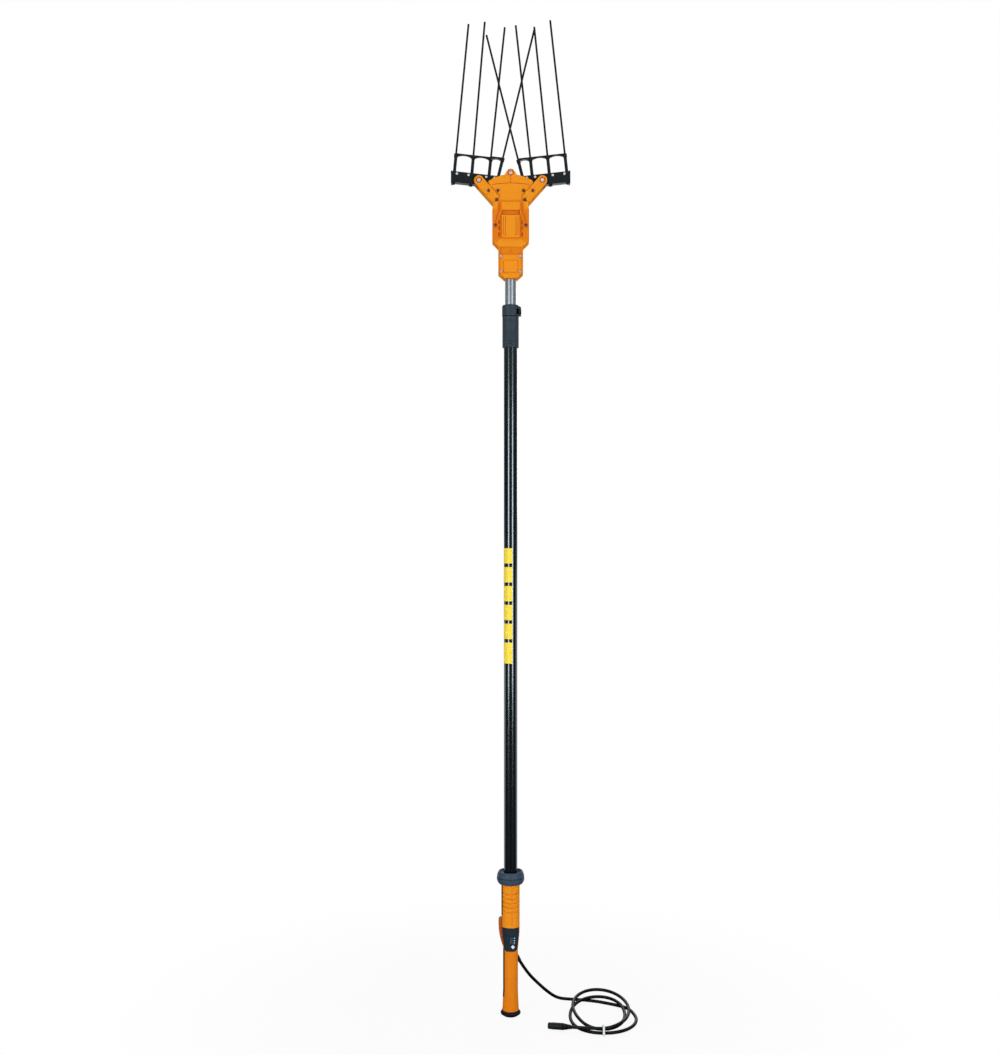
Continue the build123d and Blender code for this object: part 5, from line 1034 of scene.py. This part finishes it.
@dataclass
class Boot:
    """Rubber boot with rings, between the lead and the plug. Millimetres."""

    length: float = 24.0
    tip: float = 10.5
    lip: float = 0.4
    lip_length: float = 0.8
    rings: int = 3
    ring_start: float = 2.0
    ring_pitch: float = 3.6
    ring_growth: float = 0.5
    ring_depth: float = 1.0
    ring_flare: float = 0.4
    ring_steps: tuple[float, ...] = (0.0, 0.6, 1.8, 2.4)
    shoulder: float = 5.0
    shoulder_length: float = 1.0
    shoulder_step: float = 0.6

    def profile(self, lead: float, plug: float) -> Profile:
        """Rings of the boot.

        Args:
            lead: Diameter of the lead.
            plug: Diameter of the plug.

        Returns:
            Radius and place of each ring.
        """
        tip = self.tip / 2.0
        wide = plug / 2.0
        shoulder = self.length - self.shoulder
        profile = [(lead / 2.0 + self.lip, 0.0), (tip, self.lip_length)]
        for ring in range(self.rings):
            outside = tip + self.ring_growth * ring
            waist = outside - self.ring_depth
            start = self.ring_start + ring * self.ring_pitch
            places = [start + step for step in self.ring_steps]
            profile += zip((outside, waist, waist, outside + self.ring_flare), places)
        profile += [(wide - self.shoulder_step, shoulder), (wide, shoulder + self.shoulder_length)]
        profile.append((wide, self.length))
        return profile

    def build(
        self, shop: Workshop, base: Vector, heading: Vector, lead: float, plug: float
    ) -> bpy.types.Object:
        """Turn the boot.

        Args:
            shop: The workshop.
            base: Where the boot begins.
            heading: Its direction.
            lead: Diameter of the lead.
            plug: Diameter of the plug.

        Returns:
            The boot.
        """
        boot = shop.turned("ringed_boot", self.profile(lead, plug), base, heading)
        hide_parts("plug_boot")
        return shop.dress(boot, SHEATH, Body.POLE)


@dataclass
class Plug:
    """Plug shell with grip grooves, a front ring and an open socket. Millimetres."""

    length: float = 34.0
    diameter: float = 16.4
    socket_diameter: float = 12.6
    socket_depth: float = 12.0
    grooves: int = 5
    groove_start: float = 3.0
    groove_pitch: float = 3.0
    groove_depth: float = 0.7
    groove_steps: tuple[float, ...] = (0.0, 0.4, 1.4, 1.8)
    ring_length: float = 10.0
    ring_step: float = 0.5
    mouth_bevel: Span = (0.6, 0.8)

    def profile(self) -> Profile:
        """Rings of the plug.

        Returns:
            Radius and place of each ring.
        """
        wide = self.diameter / 2.0
        ring = wide - self.ring_step
        hole = self.socket_diameter / 2.0
        waist = wide - self.groove_depth
        bevel_width, bevel_length = self.mouth_bevel
        ring_start = self.length - self.ring_length
        profile = [(wide, 0.0)]
        for groove in range(self.grooves):
            start = self.groove_start + groove * self.groove_pitch
            places = [start + step for step in self.groove_steps]
            profile += zip((wide, waist, waist, wide), places)
        profile += [(wide, ring_start), (ring, ring_start + self.ring_step)]
        profile += [(ring, self.length - bevel_length), (ring - bevel_width, self.length)]
        profile += [(hole, self.length), (hole, self.length - self.socket_depth)]
        return profile

    def build(self, shop: Workshop, base: Vector, heading: Vector) -> bpy.types.Object:
        """Turn the plug.

        Args:
            shop: The workshop.
            base: Where the plug begins.
            heading: Its direction.

        Returns:
            The plug.
        """
        plug = shop.turned("grooved_plug", self.profile(), base, heading)
        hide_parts("plug")
        return shop.dress(plug, BLACK, Body.POLE)


@dataclass
class Coil:
    """Course of the coiled lead, clockwise from above. Millimetres, degrees, and places counted in turns."""

    centre_x: float = 222.0
    start_angle: float = 20.0
    sweep: float = 842.0
    points_per_turn: int = 16
    half_width: float = 62.0
    tight_turn: float = 1.05
    draw_in: float = 28.0
    let_out: float = 11.0
    front_y: float = -125.0
    front_turn: float = 1.3
    front_draw_in: float = 8.0
    front_let_out: float = 8.4
    depth: float = 199.0
    depth_growth: float = 27.5
    climbs: tuple[Span, ...] = ((0.5, 0.675), (1.38, 1.53))
    layer: float = 8.6
    tie_lift: float = 2.6
    tie_sharpness: int = 4
    tail_drop: float = 4.6
    tail_drop_from: float = 2.2
    tail_slope: float = 0.065
    heading_step: float = 0.01

    @property
    def turns(self) -> float:
        """How many turns the coil has."""
        return self.sweep / 360.0

    @staticmethod
    def ramp(value: float, start: float, end: float) -> float:
        """Smooth climb from 0 to 1 between two values."""
        share = min(max((value - start) / (end - start), 0.0), 1.0)
        return share * share * (3.0 - 2.0 * share)

    def point(self, turns: float) -> Vector:
        """Middle of the lead after a number of turns.

        Args:
            turns: How far round the coil, from its start.

        Returns:
            The place, with z counted from a lead that lies on the floor.
        """
        angle = math.radians(self.start_angle) - 2.0 * math.pi * turns
        loose = max(self.draw_in * (self.tight_turn - turns), self.let_out * (turns - self.tight_turn))
        before_front = self.front_draw_in * (self.front_turn - turns)
        after_front = self.front_let_out * (turns - self.front_turn)
        front = self.front_y - max(before_front, after_front)
        depth = self.depth + self.depth_growth * turns
        layers = [self.ramp(turns, start, end) for start, end in self.climbs]
        under_tie = self.tie_lift * (1.0 - layers[0]) * max(0.0, -math.sin(angle)) ** self.tie_sharpness
        drop = self.tail_drop * self.ramp(turns, self.tail_drop_from, self.turns)
        x = self.centre_x + (self.half_width + loose) * math.cos(angle)
        y = front + depth * (1.0 + math.sin(angle)) / 2.0
        return Vector((x, y, self.layer * sum(layers) - drop + under_tie))

    def heading(self, turns: float) -> Vector:
        """Direction of the lead in the coil; at its end it slopes to the floor.

        Args:
            turns: How far round the coil, from its start.

        Returns:
            The direction, one unit long.
        """
        heading = self.point(turns + self.heading_step) - self.point(turns - self.heading_step)
        if turns == self.turns:
            heading.z = -self.tail_slope * heading.length
        return heading.normalized()


@dataclass
class SupplyLead:
    """The lead from the handle to its plug: gland, free stretch, coil, boot and plug.

    Lengths are in millimetres, apart from the real length, which is in metres.
    """

    gland: Gland = field(default_factory=Gland)
    coil: Coil = field(default_factory=Coil)
    boot: Boot = field(default_factory=Boot)
    plug: Plug = field(default_factory=Plug)
    floor: float = -286.0
    diameter: float = 8.0
    first_run: float = 41.0
    points: tuple[Point, ...] = (
        (66.0, 54.0, 64.0),
        (94.0, 72.0, 33.0),
        (121.0, 88.0, 10.0),
        (152.0, 97.0, 4.0),
        (212.0, 86.0, 4.0),
        (262.0, 60.0, 4.0),
    )
    last_run: float = 40.0
    tail_length: float = 64.0
    real_length: float = 1.861
    spline_order: int = 3
    spline_steps: int = 8
    round_steps: int = 5

    def resting(self, turns: float) -> Vector:
        """Middle of the lead in the coil, whose first layer lies on the floor."""
        return self.coil.point(turns) + Vector((0.0, 0.0, self.floor + self.diameter / 2.0))

    @property
    def tail_heading(self) -> Vector:
        """Direction of the tail, the boot and the plug."""
        return self.coil.heading(self.coil.turns)

    @property
    def tail_end(self) -> Vector:
        """Where the boot begins."""
        return self.resting(self.coil.turns) + self.tail_heading * self.tail_length

    def route(self) -> list[Vector]:
        """Control points of the lead.

        Returns:
            The points from the gland to the boot.
        """
        route = [self.gland.end, self.gland.end + self.gland.axis * self.first_run]
        route += [Vector((x, y, self.floor + z)) for x, y, z in self.points]
        route.append(self.resting(0.0) - self.coil.heading(0.0) * self.last_run)
        steps = math.ceil(self.coil.turns * self.coil.points_per_turn)
        route += [self.resting(self.coil.turns * step / steps) for step in range(steps + 1)]
        route.append(self.tail_end)
        return route

    def make_lead(self, shop: Workshop) -> bpy.types.Object:
        """Lay the lead as one smooth spline.

        Args:
            shop: The workshop.

        Returns:
            The lead.
        """
        curve = bpy.data.curves.new("supply_lead", "CURVE")
        curve.dimensions = "3D"
        curve.resolution_u = self.spline_steps
        curve.bevel_depth = self.diameter / 2.0 * MM
        curve.bevel_resolution = self.round_steps
        curve.use_fill_caps = True
        spline = curve.splines.new("NURBS")
        route = self.route()
        spline.points.add(len(route) - 1)
        for point, place in zip(spline.points, route):
            point.co = (*(place * MM), 1.0)
        spline.order_u = self.spline_order
        spline.use_endpoint_u = True
        lead = bpy.data.objects.new("supply_lead", curve)
        bpy.context.collection.objects.link(lead)
        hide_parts("lead_free", "lead_coil")
        return shop.dress(lead, SHEATH, Body.POLE)

    def build(self, shop: Workshop) -> None:
        """Args:
            shop: The workshop.
        """
        lead = self.make_lead(shop)
        self.gland.build(shop, self.diameter)
        heading = self.tail_heading
        boot = self.boot.build(shop, self.tail_end, heading, self.diameter, self.plug.diameter)
        plug = self.plug.build(shop, self.tail_end + heading * self.boot.length, heading)
        tuple(self.gland.end * MM)


@dataclass
class TubeMarks:
    """Plain yellow bars round the tube's left side. Millimetres, and degrees from the front to the left."""

    tube_radius: float = 17.0
    film: float = 0.15
    lowest: float = 594.0
    first_height: float = 52.0
    height: float = 38.0
    count: int = 6
    gap: float = 9.0
    sector: Span = (-14.0, 118.0)
    facets: int = 120

    def covers(self, place: Vector) -> bool:
        """Whether a point lies in the printed sector."""
        start, end = self.sector
        return start < math.degrees(math.atan2(-place.x, -place.y)) < end

    def make_bar(self, shop: Workshop, low: float, height: float) -> bpy.types.Object:
        """One bar: a tube cut down to the printed sector and given its thickness.

        Args:
            shop: The workshop.
            low: Where the bar starts.
            height: How high it is.

        Returns:
            The bar.
        """
        bpy.ops.object.select_all(action="DESELECT")
        bpy.ops.mesh.primitive_cylinder_add(
            vertices=self.facets,
            radius=self.tube_radius * MM,
            depth=height * MM,
            end_fill_type="NOTHING",
            location=(0.0, 0.0, (low + height / 2.0) * MM),
        )
        bar = bpy.context.active_object
        bpy.ops.object.transform_apply(location=True, rotation=True, scale=True)
        bpy.ops.object.mode_set(mode="EDIT")
        shop.select(bar, lambda place: not self.covers(place))
        bpy.ops.mesh.delete(type="FACE")
        bpy.ops.object.mode_set(mode="OBJECT")
        shop.apply(bar, "SOLIDIFY", thickness=self.film * MM, offset=1.0)
        bpy.ops.object.shade_smooth_by_angle(angle=SMOOTH_ANGLE)
        return bar

    def build(self, shop: Workshop) -> None:
        """Print the bars from the lowest up: a high one, then a lower one and its copies.

        Args:
            shop: The workshop.
        """
        first = self.make_bar(shop, self.lowest, self.first_height)
        second = self.make_bar(shop, self.lowest + self.first_height + self.gap, self.height)
        pitch = self.height + self.gap
        copies = [shop.copy(second, (0.0, 0.0, step * pitch)) for step in range(1, self.count - 1)]
        for number, bar in enumerate((first, second, *copies), start=1):
            bar.name = f"tube_mark_{number}"
            shop.dress(bar, YELLOW, Body.POLE)


@dataclass
class SmallMarks:
    """Plain ticks on the control panel and an arrow on the clamp sleeve. Millimetres and degrees."""

    tick_x: float = 5.6
    tick_width: float = 3.4
    tick_height: float = 0.7
    tick_inset: float = 0.09
    scale_x: float = 0.6
    scale_width: float = 0.5
    panel_film: float = 0.06
    arrow_z: float = 1449.0
    arrow_leg: float = 8.0
    arrow_stem: float = 12.0
    arrow_line: float = 1.3
    arrow_lean: float = 38.0
    arrow_proud: float = 0.35

    def panel_patches(self) -> list[Patch]:
        """A tick beside each status light, and a line along them.

        Returns:
            The patches.
        """
        low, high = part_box("status_lights")
        bottom = low[2] / MM
        top = high[2] / MM
        middle = (bottom + top) / 2.0
        inset = (top - bottom) * self.tick_inset
        levels = (bottom + inset, middle, top - inset)
        ticks = [Patch(self.tick_x, level, self.tick_width, self.tick_height) for level in levels]
        return [*ticks, Patch(self.scale_x, middle, self.scale_width, top - bottom)]

    def arrow_patches(self) -> list[Patch]:
        """Two legs that meet in a point, and a stem.

        Returns:
            The patches.
        """
        lean = math.radians(self.arrow_lean)
        out = self.arrow_leg / 2.0 * math.sin(lean)
        tip = self.arrow_z + self.arrow_leg / 2.0 * math.cos(lean)
        legs = [
            Patch(side * out, self.arrow_z, self.arrow_line, self.arrow_leg, -side * self.arrow_lean)
            for side in (-1.0, 1.0)
        ]
        return [*legs, Patch(0.0, tip - self.arrow_stem / 2.0, self.arrow_line, self.arrow_stem)]

    def build(self, shop: Workshop) -> None:
        """Print the panel and emboss the arrow.

        Args:
            shop: The workshop.
        """
        ticks = shop.film("panel_ticks", self.panel_patches(), "control_panel", self.panel_film)
        shop.dress(ticks, PALE_PRINT, Body.POLE)
        arrow = shop.film("sleeve_arrow", self.arrow_patches(), "clamp_sleeve", self.arrow_proud)
        shop.dress(arrow, SLATE, Body.POLE)


@dataclass
class VentLouvres:
    """Louvred inserts just inside the cooling vents of the front cover. Millimetres."""

    x: float = 28.6
    lowest: float = 1660.0
    pitch: float = 15.0
    count: int = 3
    width: float = 3.5
    height: float = 9.0
    front: float = -23.9
    thickness: float = 0.8
    slats: int = 3
    slat_rim: float = 0.25
    slat_drop: float = 0.4
    touch: float = 0.01

    def make_insert(self, shop: Workshop) -> bpy.types.Object:
        """The lowest insert on the left: a block cut into slats whose middles are pushed back.

        Args:
            shop: The workshop.

        Returns:
            The insert, with its place in its mesh.
        """
        bpy.ops.object.select_all(action="DESELECT")
        middle = (-self.x * MM, (self.front + self.thickness / 2.0) * MM, self.lowest * MM)
        bpy.ops.mesh.primitive_cube_add(size=1.0, location=middle)
        insert = bpy.context.active_object
        insert.scale = (self.width * MM, self.thickness * MM, self.height * MM)
        bpy.ops.object.transform_apply(location=True, rotation=True, scale=True)
        bpy.ops.object.mode_set(mode="EDIT")
        for cut in range(1, self.slats):
            level = self.lowest + self.height * (cut / self.slats - 0.5)
            bpy.ops.mesh.select_all(action="SELECT")
            bpy.ops.mesh.bisect(plane_co=(0.0, 0.0, level * MM), plane_no=(0.0, 0.0, 1.0))
        shop.select(insert, lambda place: place.y < (self.front + self.touch) * MM)
        bpy.ops.mesh.inset(thickness=self.slat_rim * MM, use_individual=True)
        bpy.ops.transform.translate(value=(0.0, self.slat_drop * MM, 0.0))
        bpy.ops.object.mode_set(mode="OBJECT")
        return insert

    def build(self, shop: Workshop) -> None:
        """Fill the left vents with copies of one insert, joined, and the right ones with a copy of that set.

        Args:
            shop: The workshop.
        """
        insert = self.make_insert(shop)
        copies = [shop.copy(insert, (0.0, 0.0, step * self.pitch)) for step in range(1, self.count)]
        left = shop.join([insert, *copies], "left_vent_louvres")
        right = shop.copy(left, (2.0 * self.x, 0.0, 0.0))
        right.name = "right_vent_louvres"
        for louvres in (left, right):
            shop.dress(louvres, DEEP_ORANGE, Body.HEAD)


class Ray(Enum):
    """Kinds of ray that show the backdrop."""

    CAMERA = "Is Camera Ray"
    GLOSSY = "Is Glossy Ray"
    TRANSMISSION = "Is Transmission Ray"


@dataclass(frozen=True)
class SoftBox:
    """Soft rectangular lamp aimed at a point. Metres and watts."""

    name: str
    place: Point
    target: Point
    size: Span
    power: float

    def build(self) -> None:
        """Hang the lamp."""
        lamp = bpy.data.lights.new(self.name, "AREA")
        lamp.shape = "RECTANGLE"
        lamp.size, lamp.size_y = self.size
        lamp.energy = self.power
        stand = bpy.data.objects.new(self.name, lamp)
        stand.location = self.place
        aim = Vector(self.target) - Vector(self.place)
        stand.rotation_euler = aim.to_track_quat("-Z", "Y").to_euler()
        bpy.context.collection.objects.link(stand)


@dataclass
class Studio:
    """Floor, world, lamps and camera. Lengths in metres."""

    floor_z: float = -0.2862
    floor_reach: float = 60.0
    floor_tone: Colour = (0.9, 0.9, 0.9)
    shadow_span: Span = (0.3, 1.2)
    white_near: float = 0.9
    white: Colour = (1.0, 1.0, 1.0)
    sky: float = 0.31
    sky_tone: Colour = (0.96, 0.98, 1.0)
    room_tone: Colour = (0.9, 0.95, 1.0)
    dark_room: float = 0.05
    ceiling: Span = (0.1, 0.2)
    ceiling_light: float = 0.4
    sky_backdrop: Span = (0.6, 1.0)
    floor_backdrop: Span = (0.1, 0.9)
    box_angle: float = 34.0
    box_distance: float = 3.4
    box_z: float = 0.82
    box_size: Span = (0.9, 1.5)
    box_power: float = 43.0
    fill_z: float = 1.95
    fill_size: Span = (0.9, 0.75)
    fill_power: float = 2.2
    top_box: SoftBox = SoftBox("top_box", (0.0, -0.8, 4.4), (0.0, 0.0, 1.2), (2.4, 2.4), 40.0)
    back_box: SoftBox = SoftBox("back_box", (0.6, 3.0, 2.2), (0.0, 0.0, 0.95), (2.0, 2.6), 40.0)
    photo_width: int = 1000
    photo_height: int = 1055
    metres_per_pixel: float = 0.0025
    pole_pixel_x: float = 510.6
    floor_pixel_y: float = 1015.0
    distance: float = 3.2
    sensor: float = 36.0

    def staged(
        self, graph: Graph, kind: str, own: Signal, clear: Operand, backdrop: Signal, room: Operand
    ) -> Signal:
        """White where a surface of the studio is seen, and its own shade where it lights the object.

        Args:
            graph: The graph of the surface.
            kind: The type of node that gives off a plain colour there.
            own: The surface's own shader.
            clear: How white the camera sees it.
            backdrop: 1 where it lies behind the object.
            room: How bright gloss sees the rest of it.

        Returns:
            The blended shader.
        """
        dim = graph.node(kind, {}, {"Color": self.room_tone, "Strength": room})
        white = graph.node(kind, {}, {"Color": self.white, "Strength": 1.0})
        camera, glossy, through = (graph.node("ShaderNodeLightPath", {}, {}, ray.value) for ray in Ray)
        unlit = graph.node("ShaderNodeMixShader", {}, {0: glossy, 1: own, 2: dim})
        share = (camera.most(through) * clear).most(glossy * backdrop)
        return graph.node("ShaderNodeMixShader", {}, {0: share, 1: unlit, 2: white})

    def make_floor(self) -> None:
        """Pale floor: it keeps the shadow by the object and turns as white as the world further out."""
        bpy.ops.object.select_all(action="DESELECT")
        bpy.ops.mesh.primitive_plane_add(size=self.floor_reach, location=(0.0, 0.0, self.floor_z))
        floor = bpy.context.active_object
        floor.name = "floor"
        material = bpy.data.materials.new("pale_floor")
        material.use_nodes = True
        graph = Graph(material.node_tree)
        pale = graph.node("ShaderNodeBsdfDiffuse", {}, {"Color": self.floor_tone})
        away = graph.node("ShaderNodeVectorMath", {"operation": "LENGTH"}, {0: graph.place()}, "Value")
        clear = graph.smooth_step(away, *self.shadow_span, self.white_near, 1.0)
        behind = graph.smooth_step(graph.axis("Y"), *self.floor_backdrop, 0.0, 1.0)
        graph.output(self.staged(graph, "ShaderNodeEmission", pale, clear, behind, self.dark_room))
        floor.data.materials.append(material)
        floor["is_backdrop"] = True

    def make_world(self) -> None:
        """White where it is seen, softer where it lights, and dim where gloss looks behind the camera."""
        world = bpy.data.worlds.new("white_studio")
        bpy.context.scene.world = world
        world.use_nodes = True
        graph = Graph(world.node_tree)
        soft = graph.node("ShaderNodeBackground", {}, {"Color": self.sky_tone, "Strength": self.sky})
        direction = graph.node("ShaderNodeTexCoord", {}, {}, "Generated")
        backwards = graph.node("ShaderNodeSeparateXYZ", {}, {"Vector": direction}, "Y")
        upwards = graph.node("ShaderNodeSeparateXYZ", {}, {"Vector": direction}, "Z")
        backdrop = graph.smooth_step(backwards, *self.sky_backdrop, 0.0, 1.0)
        room = graph.smooth_step(upwards, *self.ceiling, self.dark_room, self.ceiling_light)
        shader = self.staged(graph, "ShaderNodeBackground", soft, 1.0, backdrop, room)
        graph.output(shader, "ShaderNodeOutputWorld")

    def make_lamps(self) -> None:
        """Soft boxes left and right of the camera with fills higher up, one above and one behind."""
        across = self.box_distance * math.sin(math.radians(self.box_angle))
        ahead = -self.box_distance * math.cos(math.radians(self.box_angle))
        boxes = (
            ("box", self.box_z, self.box_size, self.box_power),
            ("fill", self.fill_z, self.fill_size, self.fill_power),
        )
        for side, x in (("left", -across), ("right", across)):
            for kind, z, size, power in boxes:
                SoftBox(f"{side}_{kind}", (x, ahead, z), (0.0, 0.0, z), size, power).build()
        self.top_box.build()
        self.back_box.build()

    def make_camera(self) -> None:
        """Level camera at the photo's viewpoint."""
        camera = bpy.data.cameras.new("photo_camera")
        camera.sensor_fit = "AUTO"
        camera.sensor_width = self.sensor
        focal_pixels = self.distance / self.metres_per_pixel
        camera.lens = self.sensor * focal_pixels / max(self.photo_width, self.photo_height)
        stand = bpy.data.objects.new("photo_camera", camera)
        x = (self.photo_width / 2.0 - self.pole_pixel_x) * self.metres_per_pixel
        z = self.floor_z + (self.floor_pixel_y - self.photo_height / 2.0) * self.metres_per_pixel
        stand.location = (x, -self.distance, z)
        stand.rotation_euler = (math.radians(90.0), 0.0, 0.0)
        bpy.context.collection.objects.link(stand)
        bpy.context.scene.camera = stand

    def build(self) -> None:
        """Set up the whole studio."""
        bpy.context.scene.view_settings.view_transform = "Standard"
        self.make_floor()
        self.make_world()
        self.make_lamps()
        self.make_camera()
        LOG.info("set up the studio")


def main() -> None:
    """Build the dressed harvester and its studio."""
    logging.basicConfig(level=logging.INFO, format="%(message)s")
    shop = Workshop()
    shop.dress_nodes()
    SupplyLead().build(shop)
    TubeMarks().build(shop)
    SmallMarks().build(shop)
    VentLouvres().build(shop)
    Studio().build()


if __name__ == "__main__":
    main()
